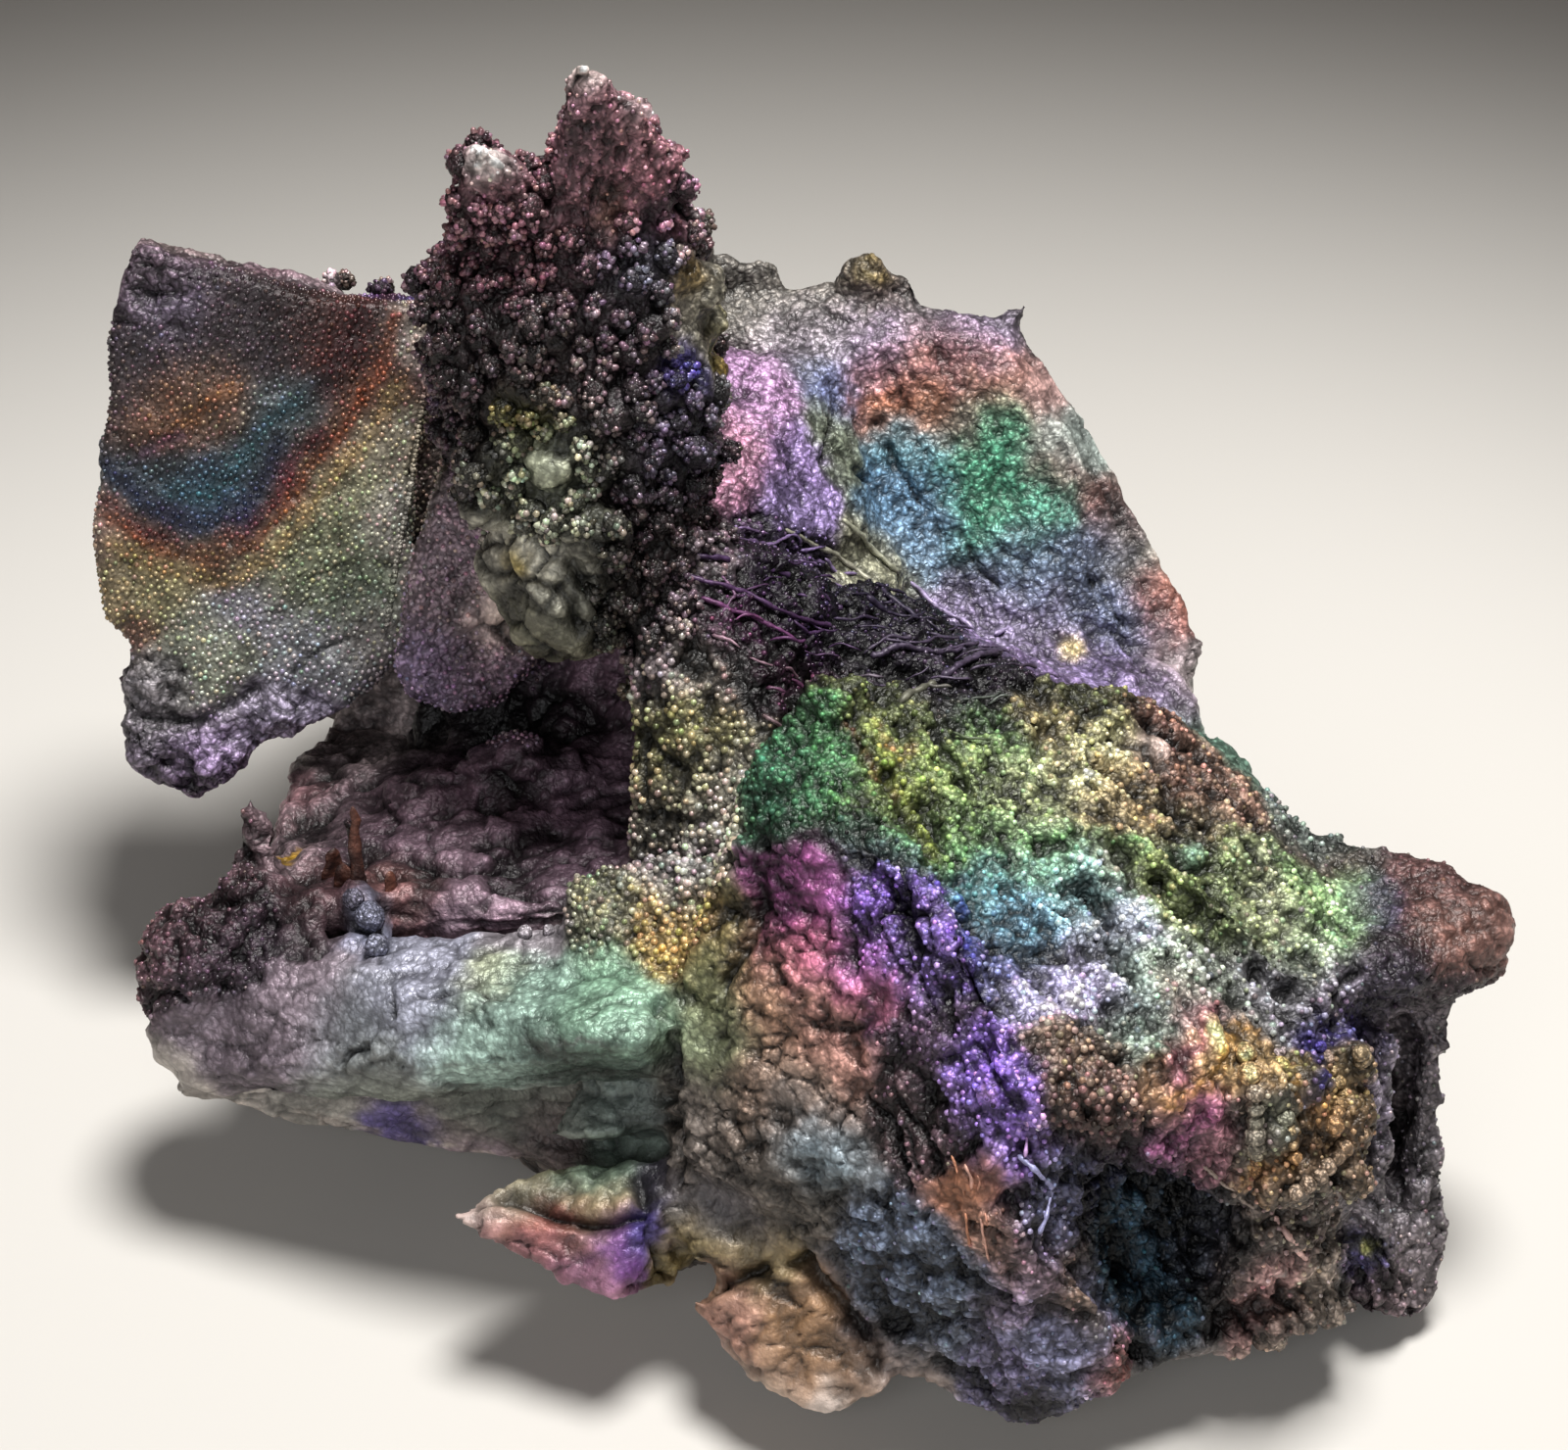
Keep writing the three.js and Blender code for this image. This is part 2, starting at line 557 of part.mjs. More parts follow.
function hollows() {
  return [
    // The recess under the bead patch and the stripes
    hull([
      [15.6, -40, 24], [20.6, -40, 20.4], [27.4, -40, 16], [26, -40, 8], [20, -40, 7.6],
      [17.2, -40, 14], [17.4, -24.6, 21.4], [20.6, -23.6, 19.6], [26.6, -22.4, 15],
      [25.4, -23, 9], [20.4, -26, 9.4], [18.4, -26, 14],
    ]),
    // Pockets under the strings of lumps
    hull([
      [29.6, -34, 17.4], [32.6, -34, 17], [32.4, -34, 14.2], [30, -34, 14.4], [30, -21, 17],
      [32, -21, 16.6], [31.6, -21, 14.6],
    ]),
    hull([
      [32.6, -34, 11.6], [34.6, -34, 11], [34.4, -34, 8], [32.6, -34, 8.4], [33, -20, 11],
      [34.4, -20, 10], [33.6, -20, 8.6],
    ]),
    // The deep slot beside the thin wall
    hull([
      [36.3, -34, 19.6], [38, -34, 18.8], [38, -34, 6.4], [36.6, -34, 7.4], [36, -12.4, 18.6],
      [37.8, -12.4, 18], [37.8, -14.4, 7.4], [36.4, -14.4, 8.4],
    ]),
    // Pocket in the top
    hull([
      [23.4, -7.8, 32], [25, -7.4, 32], [25.2, -9.6, 32], [23.6, -10, 32], [24.2, -8.6, 27.6],
    ]),
    // Grooves that slant across the top
    groove([19.8, -11.8, 30.7], [29.4, -19.8, 26.2], 1.5, 2.2),
    groove([17.6, -14.8, 30.4], [20, -20.8, 28.4], 1.3, 1.8),
    groove([27.6, -15.4, 27.4], [30.4, -20.6, 25.4], 1.3, 1.8),
    groove([9, -6, 33], [12, -11, 31.4], 1.2, 1.4),
    // The slit at the left end of the ledge
    hull([
      [-35.4, -18, 13], [-28.8, -18, 13.4], [-29, -18, 12.2], [-35, -18, 11.8],
      [-34.4, -8.6, 12.8], [-29.4, -9, 12.6],
    ]),
  ].map((geometry) => toSolid(geometry));
}

// The ledge that reaches out to the left, its lip, and the floor of the cave behind it
function ledge() {
  return [
    block([
      [-37, -9, 17], [-33, -7.6, 19.4], [-24, -8.4, 19.7], [-9.4, -9.6, 22.4], [-37.2, -13, 12.6],
      [-28.2, -15, 16.4], [-23.3, -17, 17.1], [-17.3, -18, 19.6], [-13.7, -18, 21.6],
      [-7.9, -20, 23.2], [-5.5, -12, 23], [-37.4, -12.4, 10.6], [-28, -14, 13.4],
      [-23, -15.4, 13.2], [-17, -16.4, 15.6], [-13.5, -16.4, 17.6], [-7.5, -18.4, 18.4],
      [-7, -8, 14], [-34, -6, 12],
    ], facetLength, 0.35),
    block([
      [-38, -11.4, 9.6], [-37.4, -10, 12], [-30.6, -12, 7.6], [-24.6, -12.4, 6.4],
      [-18.5, -13.4, 6], [-12, -14, 7.4], [-6.5, -15, 8], [-6.5, -14, 18], [-36, -9.4, 13],
      [-24, -12.4, 15], [-33, -2, 8], [-10, 0, 6], [-33, 0, 14], [-10, 0, 18],
    ]),
    lump([-36.4, -6.8, 16.8], [3.6, 4.4, 4.2], 1, 0.6),
    lump([-37, -9.6, 13.6], [2.6, 3, 2.8], 1, 0.4),
    // Floor of the cave
    block([
      [-31.4, -4, 20], [-33.4, 2, 17], [-33, 9, 17.6], [-24.3, 9, 18.4], [-10, 10, 21],
      [-9, -6, 20.6], [-21.7, -6, 19], [-27, -4, 4], [-8, -6, 4], [-8, 14, 4], [-28, 12, 4],
      [-32.4, 14, 13.6], [-31.6, 20, 13],
    ]),
    lump([-16.6, 6.6, 20.6], [4.6, 3, 3], 1, 0.4),
    lump([-23, 5, 19.4], [3.4, 3, 2], 1, 0.4),
    // Spike, fins and round lumps behind the lip
    block([
      [-34.8, -3.6, 14], [-29.6, -3.4, 15], [-30, 0.8, 14], [-34.6, 0.4, 14],
      [-34.6, -3, 19.6], [-31, -3, 20],
      [-34, -1.4, 22.8], [-31.8, -1.4, 22.4], [-33.2, -0.6, 26.2],
    ], fineFacetLength, 0.2),
    block([
      [-27.4, -3.6, 18.6], [-26, -2.4, 18.6], [-25.6, -4.4, 18.6], [-27, -5.2, 18.6],
      [-27.2, -2.4, 25.6], [-26.2, -2, 25.2], [-26, -3.4, 24],
    ], fineFacetLength, 0.15),
    block([
      [-29.4, -4.6, 18.6], [-27.4, -4.6, 18.6], [-27.6, -5.8, 18.6], [-29.2, -4.6, 22.2],
      [-28, -4.2, 22],
    ], fineFacetLength, 0.15),
    lump([-25.8, -5.6, 19.8], [1.6, 1.5, 1.9], 1, 0.1),
    lump([-24.9, -7, 19], [1.1, 1.1, 1.2], 1, 0.05),
    lump([-33, -5, 18.4], [3, 2.8, 3.2], 1, 0.4),
    lump([-29.8, -5.4, 18.8], [2.4, 2.3, 2.5], 1, 0.3),
    // The lump where the ledge meets the front block
    block([
      [-13.2, -8, 24.6], [-8, -7, 26.4], [-3.4, -9, 27.6], [-2.4, -13, 24.8], [-5.4, -16, 20.8],
      [-13, -12, 22.6], [-13.4, -9, 20], [-3, -8, 20],
    ], fineFacetLength, 0.5),
  ];
}

// Broken quartz points and the low apron under the front
function shards() {
  return [
    block([
      [-19.9, -23, 11.6], [-14.4, -19.6, 12.4], [-7.4, -19.6, 12.8], [-7.4, -23.4, 12.6],
      [-9.2, -27.4, 9.2], [-12, -26.6, 8.6], [-17.3, -24.2, 10.2], [-9, -18, 5],
      [-13, -18, 7], [-4, -22, 5],
    ], fineFacetLength, 0.3),
    block([
      [-14.6, -17.4, 12.4], [-12, -18.8, 13.8], [-7.4, -19, 14.6], [-7, -15.6, 17.4],
      [-12.6, -15.4, 15], [-8, -16, 10],
    ], fineFacetLength, 0.25),
    block([
      [-5.9, -27, 8.8], [-2.3, -26, 11], [5.6, -28.6, 10.4], [6.6, -32.4, 7.4],
      [2.3, -32.8, 5], [-2, -29.6, 5.4], [0, -25, 3], [5, -28, 3], [-5, -24, 4],
    ], fineFacetLength, 0.3),
    block([
      [-7.4, -22.4, 12.8], [-5.6, -25.6, 10.2], [0.6, -26.6, 11.6], [1.8, -24, 15],
      [-4, -22, 14.8], [-6, -20, 6], [2, -24, 6],
    ], fineFacetLength, 0.4),
    // Apron
    block([
      [-6.4, -21.6, 14.6], [4, -28, 17.2], [12.6, -31.4, 21], [5.6, -30.4, 6.4],
      [14, -34, 6.4], [14.6, -32, 4], [20, -32.4, 8.4], [19.2, -33, 13], [0, -26, 8],
      [0, -20, 4], [20, -24, 4],
    ]),
  ];
}

// Broken foot on which the specimen stands
function foot() {
  return [
    block([
      [-13, -9, -3], [-3, -14, -3], [10, -19, -3], [24, -17, -3], [29, -8, -3], [25, 7, -3],
      [14, 15, -3], [-7, 17, -3], [-15, 9, -3], [-24, -11, 9], [-6, -21, 8], [14, -26, 8],
      [32, -22, 8], [36, -8, 12], [32, 8, 14], [24, 22, 14], [-6, 33, 14], [-27, 28, 13],
      [-28, 0, 9],
    ], footFacetLength, footRelief),
    // Broken stone between the back plate and the front block
    block([
      [12, 12, 6], [26, 10, 6], [28.6, 8, 19], [26.4, 15, 22], [21, 26, 14], [10, 22, 24],
      [27, 20, 12], [8, 26, 8], [16, 8, 24],
    ]),
    block([
      [-28, 12, 6], [-22, -4, 6], [-26, 30, 8], [-14, 34, 5], [-12, 10, 3], [-28, 24, 14],
      [-16, 36, 14], [-24, 4, 12],
    ]),
    // Stone inside, from the floor of the cave to the back
    block([
      [-14, 9, 4], [-2, 0, 4], [8, 2, 4], [10, 26, 5], [-20, 34, 6], [-26, 14, 6],
      [-25, 12.5, 16.4], [-12, 10.5, 19], [-6, 8, 24], [6, 6, 26], [8, 24, 29], [-6, 22, 34],
      [-22, 25, 27],
    ]),
  ];
}

// A slab under the ground plane, wider than the specimen
function groundCut() {
  const below = new THREE.BoxGeometry(200, 200, 20);
  below.translate(0, 0, -10);
  return toSolid(weld(below));
}

const grown = join([
  ...foot(), ...leftPlates(), ...rearBlocks(), ...column(), ...backPlate(), ...slope(),
  ...frontBlock(), ...ribs(), ...ledge(), ...shards(),
]);
const specimenSolid = grown.subtract(join(hollows())).subtract(groundCut());

function toGeometry(solid) {
  const mesh = solid.getMesh();
  const geometry = new THREE.BufferGeometry();
  geometry.setAttribute('position', new THREE.BufferAttribute(mesh.vertProperties, 3));
  geometry.setIndex(new THREE.BufferAttribute(mesh.triVerts, 1));
  return geometry;
}

// Draws the ends of each very short edge together, where no face of the skin turns over.
// The joins leave thousands of these along the lines where two blocks meet.
function drawTogether(points, triangles, shortest) {
  const around = points.map(() => new Set());
  triangles.forEach((corners, i) => corners.forEach((corner) => around[corner].add(i)));
  const areaOf = ([a, b, c], place = points) => new THREE.Vector3()
    .crossVectors(place[b].clone().sub(place[a]), place[c].clone().sub(place[a]));
  const neighbours = (corner) => new Set([...around[corner]].flatMap((i) => triangles[i]));
  const staysSound = (keep, drop) => {
    const outward = new THREE.Vector3();
    around[drop].forEach((i) => outward.add(areaOf(triangles[i])));
    return [...around[drop]].filter((i) => !around[keep].has(i)).every((i) => {
      const before = areaOf(triangles[i]);
      const after = areaOf(triangles[i].map((corner) => (corner === drop ? keep : corner)));
      if (after.length() < leastDoubleArea) return false;
      const reference = before.length() > soundDoubleArea ? before : outward;
      return after.normalize().dot(reference.clone().normalize()) > leastTurnCosine;
    });
  };
  const lengthOf = ([a, b]) => points[a].distanceTo(points[b]);
  const edges = triangles
    .flatMap(([a, b, c]) => [[a, b], [b, c], [c, a]])
    .filter((edge) => edge[0] < edge[1] && lengthOf(edge) < shortest)
    .sort((first, second) => lengthOf(first) - lengthOf(second));
  for (const [a, b] of edges) {
    const shared = [...around[a]].filter((i) => around[b].has(i));
    if (shared.length !== 2) continue;
    const both = [...neighbours(a)].filter((corner) => neighbours(b).has(corner));
    if (both.length !== 4) continue;
    const pair = [[a, b], [b, a]].find(([keep, drop]) => staysSound(keep, drop));
    if (!pair) continue;
    const [keep, drop] = pair;
    for (const i of shared) {
      triangles[i].forEach((corner) => around[corner].delete(i));
      triangles[i] = null;
    }
    for (const i of around[drop]) {
      triangles[i] = triangles[i].map((corner) => (corner === drop ? keep : corner));
      around[keep].add(i);
    }
    around[drop].clear();
  }
  return withoutFolds(triangles.filter((corners) => corners !== null));
}

// Leaves out each pair of triangles that lie back to back on the same three points
function withoutFolds(triangles) {
  const nameOf = (corners) => [...corners].sort((a, b) => a - b).join('_');
  const seen = new Map();
  triangles.forEach((corners) => seen.set(nameOf(corners), (seen.get(nameOf(corners)) ?? 0) + 1));
  return triangles.filter((corners) => seen.get(nameOf(corners)) === 1);
}

// The whole skin without the slivers, on the points that it still uses
function cleanSkin(geometry) {
  const points = pointsOf(geometry);
  let triangles = trianglesOf(geometry);
  for (let pass = 0; pass < skinPasses; pass++) {
    triangles = drawTogether(points, triangles, shortestEdge);
    relax(points, triangles, nearlyFlatCosine);
  }
  const used = [...new Set(triangles.flat())];
  const place = new Map(used.map((corner, i) => [corner, i]));
  const clean = new THREE.BufferGeometry().setFromPoints(used.map((corner) => points[corner]));
  clean.setIndex(triangles.flat().map((corner) => place.get(corner)));
  return clean;
}

const hematiteCrust = new THREE.MeshStandardMaterial({
  color: 0x5a4a52,
  roughness: 0.5,
  metalness: 0.4,
});

const specimenGeometry = cleanSkin(toGeometry(specimenSolid));
specimenGeometry.computeBoundingBox();
const middle = specimenGeometry.boundingBox.getCenter(new THREE.Vector3());
const specimen = new THREE.Mesh(specimenGeometry, hematiteCrust);
specimen.name = 'specimen';
specimen.position.set(-middle.x, -middle.y, 0);

const object = new THREE.Group();
object.add(specimen);

export default object;
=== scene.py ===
import math

import bmesh
import bpy
import numpy as np
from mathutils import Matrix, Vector
from mathutils.bvhtree import BVHTree


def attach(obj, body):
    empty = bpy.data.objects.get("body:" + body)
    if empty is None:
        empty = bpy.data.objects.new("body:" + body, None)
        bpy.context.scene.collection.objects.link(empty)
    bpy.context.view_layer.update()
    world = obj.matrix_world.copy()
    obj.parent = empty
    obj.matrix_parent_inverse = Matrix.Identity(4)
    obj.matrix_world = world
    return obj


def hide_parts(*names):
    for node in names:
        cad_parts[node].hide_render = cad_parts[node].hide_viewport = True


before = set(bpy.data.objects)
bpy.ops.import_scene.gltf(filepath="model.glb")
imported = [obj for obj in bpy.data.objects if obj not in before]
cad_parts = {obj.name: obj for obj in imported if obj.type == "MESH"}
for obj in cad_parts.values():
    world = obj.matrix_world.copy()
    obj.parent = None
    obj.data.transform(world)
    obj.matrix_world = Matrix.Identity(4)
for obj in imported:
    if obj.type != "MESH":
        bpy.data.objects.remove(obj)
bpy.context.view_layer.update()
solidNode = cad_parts["specimen"]
mm = 0.001

# The view of the photo. Places given in its pixels are carried onto the solid from there.
photo = {
    "width": 1600,  # px
    "height": 1480,  # px
    "lens": 72.9,  # mm
    "sensor": 36.0,  # mm
    "aim": (0.567, 1.261, 26.0),  # mm
    "distance": 200.0,  # mm
    "elevation": 40.0,  # degrees above the floor
    "inwards": 0.01,  # how far a pixel that misses the solid moves to the middle at each try
}

# Where the crust changes colour, region by region. Each row: pixel across and down,
# reach in mm, colour and, if it isn't 0, how bare the quartz is there (1 is bare).
# Some rows are painted shade in gaps, hollows, undersides and shaded sides, and a few are partly painted
# light on lit sides; each is marked where it stands.
colourPatches = {
    "leftPlate": {
        "dark brown field": (240, 328, 2.4, "#2f252a"),
        "dark brown, left": (140, 345, 1.8, "#372e34"),
        "maroon beads": (322, 312, 1.8, "#352020"),
        "rust red beads": (360, 342, 1.9, "#4f2a24"),
        "violet stain": (390, 303, 0.9, "#45356c"),
        "pale beads at the right edge": (418, 330, 1.3, "#8f8177"),
        "rust patch": (165, 420, 1.6, "#70492f"),
        "rust patch, upper": (218, 408, 1.6, "#72533f"),
        "plum at the left edge": (128, 400, 1.5, "#43363a"),
        "slate over the arc": (285, 425, 1.5, "#586266"),
        "steel blue arc": (262, 468, 1.4, "#3a4c54"),
        "steel blue arc, lower": (215, 508, 1.4, "#304a62"),
        "steel blue arc, left": (165, 490, 1.3, "#36404a"),
        "indigo rim": (178, 524, 0.9, "#332c4c"),
        "indigo rim, middle": (246, 531, 0.9, "#30284c"),
        "plum rim": (286, 484, 0.9, "#4c2a3c"),
        "rust red arc, left": (160, 552, 1, "#5e3426"),
        "rust red arc": (238, 556, 1, "#6c3c24"),
        "rust red arc, right": (296, 506, 1, "#703f26"),
        "rust red arc, upper": (335, 455, 1.2, "#62362a"),
        "rust red arc, top": (378, 402, 1.2, "#66402f"),
        "orange rim": (214, 576, 0.8, "#80603c"),
        "khaki field": (345, 492, 1.8, "#807c5c"),
        "khaki field, lower": (318, 560, 2, "#77795a"),
        "tan beads": (392, 455, 1.4, "#8c816c"),
        "grey tan beads": (404, 530, 1.4, "#8a857a"),
        "sage field": (345, 604, 1.8, "#6f7862"),
        "olive field": (268, 588, 1.6, "#7c7c5e"),
        "lavender patch": (249, 614, 1.5, "#7c7789"),
        "golden field": (160, 590, 1.7, "#8e8358"),
        "pink brown edge": (108, 545, 1.2, "#8c7164"),
        "ochre edge": (118, 598, 1.2, "#806e4c"),
        "ochre and blue spot": (142, 640, 0.8, "#6b4a3a"),
        "grey green field": (215, 660, 1.8, "#8b8e7b"),
        "grey field": (322, 668, 1.7, "#898990"),
        "grey beads, right": (368, 650, 1.3, "#908884"),
    },
    "plateEdge": {
        "mauve corner": (150, 290, 2.4, "#5f4f5a"),
        "navy stain in the corner": (172, 308, 1.5, "#48445c"),
        "dusty upper band": (262, 268, 2, "#7a6770"),
        "pale top strip": (170, 238, 1.6, "#7f716e", 0.3),
        "pale top strip, right": (330, 280, 1.4, "#837478", 0.3),
        "rose fleck": (271, 276, 0.8, "#9c7280"),
        "grey lobe": (150, 714, 1.6, "#827c82"),
        "dark mauve lobe": (150, 765, 1.7, "#574e5b"),
        "lilac lobe": (215, 775, 1.6, "#857194"),
        "plum lobe": (190, 808, 1.4, "#5c4a62"),
        "lilac edge": (286, 735, 1.5, "#82778f"),
    },
    "narrowPlate": {
        "brown beads": (436, 470, 1.6, "#544843"),
        "mauve middle": (450, 600, 1.9, "#6e5d65"),
        "lilac foot": (430, 700, 1.7, "#73617c"),
        "mauve foot": (500, 690, 1.8, "#624e5c"),
    },
    "column": {
        "wine left shoulder": (494, 228, 2.4, "#5a3f46"),
        "brown middle": (505, 385, 2.4, "#43373a"),
        "tan crust": (620, 210, 0.7, "#a4805c"),
        "slate shoulder": (667, 245, 1.8, "#585668"),
        "gold spot": (707, 290, 0.7, "#9c7c30"),
        "violet stain on the side": (704, 385, 0.8, "#3b2f8c"),
        "plum middle": (634, 340, 1.8, "#4b3b44"),
        "brown knobs": (600, 400, 2.2, "#584b4c"),
        "yellow green bead": (540, 433, 0.9, "#8e8c3a", 0.4),
        "pale green quartz": (555, 478, 1.3, "#aeb49c", 0.8),
        "grey green knobs": (560, 512, 1.5, "#6f7060", 0.2),
        "plum right edge": (675, 440, 2, "#4b4352"),
        # Painted shade: the lower right of the column lies in shadow.
        "right edge in painted shade": (668, 575, 2.6, "#372b2d"),
    },
    "spires": {
        "pink streak": (688, 235, 0.9, "#8a5060"),
        "white quartz on the blunt spire": (488, 156, 0.9, "#d4ccc6", 1),
        "wine blunt spire": (500, 195, 1.7, "#6b4850"),
        "grey tip": (586, 64, 1, "#958c84", 0.7),
        # Painted light and shade: the spire's left side is painted darker as in shadow, and its rose right
        # side is painted paler as lit.
        "shaded side of the spire": (592, 130, 1.9, "#553c44"),
        "lit rose side of the spire": (640, 125, 1.9, "#8a5f68"),
        "pale shoulder": (660, 110, 0.7, "#a09090", 0.5),
        "rose foot of the spire": (655, 180, 1.7, "#7c4e58"),
        "wine foot of the spire": (610, 185, 1.6, "#5f4048"),
    },
    "boulder": {
        # Partly painted light: the boulder's upper left face is paler where it is lit, as well as barer.
        "pale face, partly painted light": (556, 568, 1.5, "#a09c90", 0.3),
        "gold stain": (530, 578, 0.5, "#a08a30", 0.3),
        "grey green face": (582, 600, 1.5, "#5c5e54", 0.2),
        "olive foot": (552, 662, 1.6, "#5f5d4e", 0.4),
        # Painted shade: the boulder's right side is darker where it turns from the light.
        "dark right": (612, 620, 1.7, "#302e2a", 0.1),
        "tan left": (508, 640, 1.3, "#9a8a7c", 0.5),
    },
    "backPlate": {
        "grey olive top": (742, 304, 2.4, "#7d786a"),
        "dark bump": (782, 292, 1.3, "#5e5a56"),
        "yellow green stain": (738, 345, 1, "#a39a5c"),
        "gold bead": (735, 362, 0.6, "#9c7c28"),
        "dark knob": (893, 298, 1.5, "#5a4c40"),
        "yellow stain": (886, 284, 0.7, "#dcbc20"),
        "grey olive top, middle": (830, 322, 2.2, "#807b70"),
        "grey top, right": (965, 320, 2.2, "#7b7470"),
        "dark corner": (1034, 328, 1.2, "#4a4543"),
        "lilac band": (905, 345, 1.6, "#8d7b9e"),
        "lilac band, right": (990, 335, 1.6, "#9080aa"),
        "lilac band, left": (835, 348, 1.8, "#8d8098"),
        "pink spot": (898, 368, 1, "#b88494"),
        "rose patch": (970, 356, 1.4, "#aa6a70", 0.2),
        "rust patch": (903, 398, 1.2, "#a45f33", 0.2),
        "rust patch, middle": (950, 390, 1.5, "#9d6440", 0.2),
        "grey brown notch": (985, 424, 0.9, "#84706a", 0.1),
        "rose brown": (1018, 385, 1.3, "#a9705c", 0.3),
        "rose rim": (1055, 400, 1.4, "#a88480", 0.5),
        "pale rim": (1098, 444, 1.4, "#94a09a", 0.6),
        "brick strip": (1082, 475, 0.9, "#8d5a54", 0.3),
        "brick strip, lower": (1112, 508, 0.9, "#885852", 0.3),
        "brown rim": (1140, 530, 1.3, "#6c5752", 0.2),
        "pale brown rim": (1172, 575, 1.4, "#8c8578", 0.5),
        "salmon rim": (1190, 612, 1.1, "#b6705a", 0.5),
        "pale foot of the rim": (1205, 700, 1.5, "#a29094", 0.6),
        "emerald point": (1008, 434, 1.2, "#3c8a68"),
        "emerald field": (1020, 500, 2, "#459070"),
        "dark green edge": (1074, 505, 1.2, "#3d6e60"),
        "blue green edge": (928, 445, 1.1, "#53808c"),
        "blue field": (922, 500, 1.3, "#587d9c"),
        "sky field": (936, 540, 1.3, "#6c8aa6"),
        "steel field": (1045, 580, 1.7, "#5f7188"),
        "steel edge": (1122, 565, 1.5, "#64708b"),
        "slate edge": (1155, 612, 1.5, "#5d6884"),
        "lilac field": (1022, 640, 1.8, "#87799a"),
        "mauve field": (1062, 680, 1.8, "#7e6a94"),
        "lilac foot": (1140, 690, 1.7, "#8a78a6"),
        "violet foot": (1190, 708, 1.2, "#796494"),
        "cream fleck": (1097, 660, 0.45, "#d0b870"),
        "lilac ridge": (806, 468, 1.2, "#a88ccc"),
        "lilac ridge, lower": (812, 520, 1.2, "#9e88c2"),
        "pink left field": (760, 392, 1.6, "#b488b6"),
        "rose left field": (758, 460, 1.5, "#aa748e"),
        "blue corner": (852, 392, 1.2, "#6a78aa"),
        "slate crest": (830, 370, 1, "#57606c"),
        "sage strip": (850, 440, 1.2, "#78816e"),
        "tan strip": (904, 572, 1.2, "#85846e"),
    },
    "furrow": {
        "violet strands": (800, 560, 1.4, "#76608a"),
        "deep violet": (785, 608, 1.5, "#4a3357"),
        "black violet, right": (915, 622, 1.7, "#332a40"),
        "magenta slope": (748, 636, 1.4, "#7e4074"),
        "plum slope, lower": (775, 685, 1.5, "#5e3552"),
        "grey plum": (960, 668, 1.7, "#54485e"),
        "grey plum, lower": (985, 702, 1.6, "#4a3d50"),
        "dark plum, right": (1028, 690, 1.4, "#453b4a"),
    },
    "slope": {
        "mauve top of the slope": (706, 587, 1.3, "#7b6b72"),
        "grey tan beads": (722, 685, 1.2, "#8b8072"),
        "olive gold beads, lower": (690, 765, 1.6, "#716b3c"),
        "tan beads": (740, 828, 1.7, "#8a8474"),
        "tan grey beads": (690, 830, 1.6, "#7d745c"),
        "mauve grey strip": (664, 705, 1, "#74666a"),
        "grey foot": (697, 862, 1.4, "#6f6a72"),
    },
    "cave": {
        "mauve side": (645, 740, 1.9, "#614c58"),
        "mauve side, lower": (632, 800, 1.9, "#6f5c68"),
        "mauve wall": (475, 822, 2.2, "#66505c"),
        # Painted shade: the back wall of the cave is darker here because it lies in shadow.
        "cave wall in painted shade": (420, 790, 2.4, "#46383f"),
        "mauve wall, right": (500, 868, 2, "#74616c"),
        "mauve wall, left": (428, 855, 1.6, "#6e5a66"),
        "plum wall": (545, 850, 2, "#5a4653"),
        "brown fold": (405, 895, 1.2, "#694a48"),
        # Painted shade in a gap of the cave wall.
        "gap in painted shade": (427, 888, 0.8, "#3f3338"),
        "rose spike": (264, 812, 1.2, "#8f6a6e", 0.3),
        "spike tip": (256, 790, 0.5, "#b4aaa2", 1),
        "slate knobs": (376, 932, 1, "#6b6d7e"),
        "gold stain": (305, 872, 0.3, "#b48c2c"),
        "wine pits": (322, 914, 1.3, "#4b3539"),
        # Painted shade in the pits under the knobs.
        "pits in painted shade": (312, 945, 1.1, "#2a2226"),
        # Painted shade: these black patches stand where the deep gap under the plates lies in shadow.
        "painted shade in the gap under the plate": (430, 738, 1.1, "#0c0a0c"),
        "painted shade in the gap, middle": (500, 742, 1.2, "#0c0a0c"),
        "painted shade in the gap, right": (562, 748, 1.2, "#0c0a0c"),
        "painted shade in the gap, left": (330, 790, 0.9, "#0c0a0c"),
        "painted shade in the gap, far left": (300, 812, 0.6, "#141014"),
    },
    "olive": {
        "pale grey edge": (700, 896, 1, "#9c9896"),
        "sage front": (610, 940, 1.2, "#7f7d60"),
        "gold lump": (694, 942, 1.3, "#ac8a36"),
        "orange lump": (708, 968, 1, "#9c7038"),
    },
    "pits": {
        "rose bulb": (180, 935, 1.8, "#80636a"),
        "dark pits": (222, 965, 1.7, "#4a3d4a"),
    },
    "ledge": {
        "mauve lip end": (250, 1060, 1.6, "#6f606c"),
        "mauve lip": (312, 1028, 1.6, "#8c7886"),
        "grey blue lip": (345, 1052, 1.6, "#868c96"),
        "lavender lip": (437, 1000, 1.6, "#9091a6"),
        "yellow green stain": (498, 994, 0.9, "#9ca27a"),
        "sea green lip, middle": (500, 1050, 1.6, "#8fb0a2"),
        "green grey lip": (545, 1020, 1.7, "#80a694"),
        "green lip": (604, 1020, 1.6, "#74aa84"),
        "green lip, right": (645, 1035, 1.4, "#88b79c"),
        "lilac lumps, right": (540, 955, 1.1, "#9b919a"),
        "grey face": (362, 1105, 1.5, "#707669", 0.3),
        "dark green face": (500, 1128, 1.7, "#5e655a", 0.3),
        "warm grey face": (470, 1160, 1.2, "#6c605c", 0.3),
        # Painted shade: these two green patches are darker because the hollow under the lip lies in shadow.
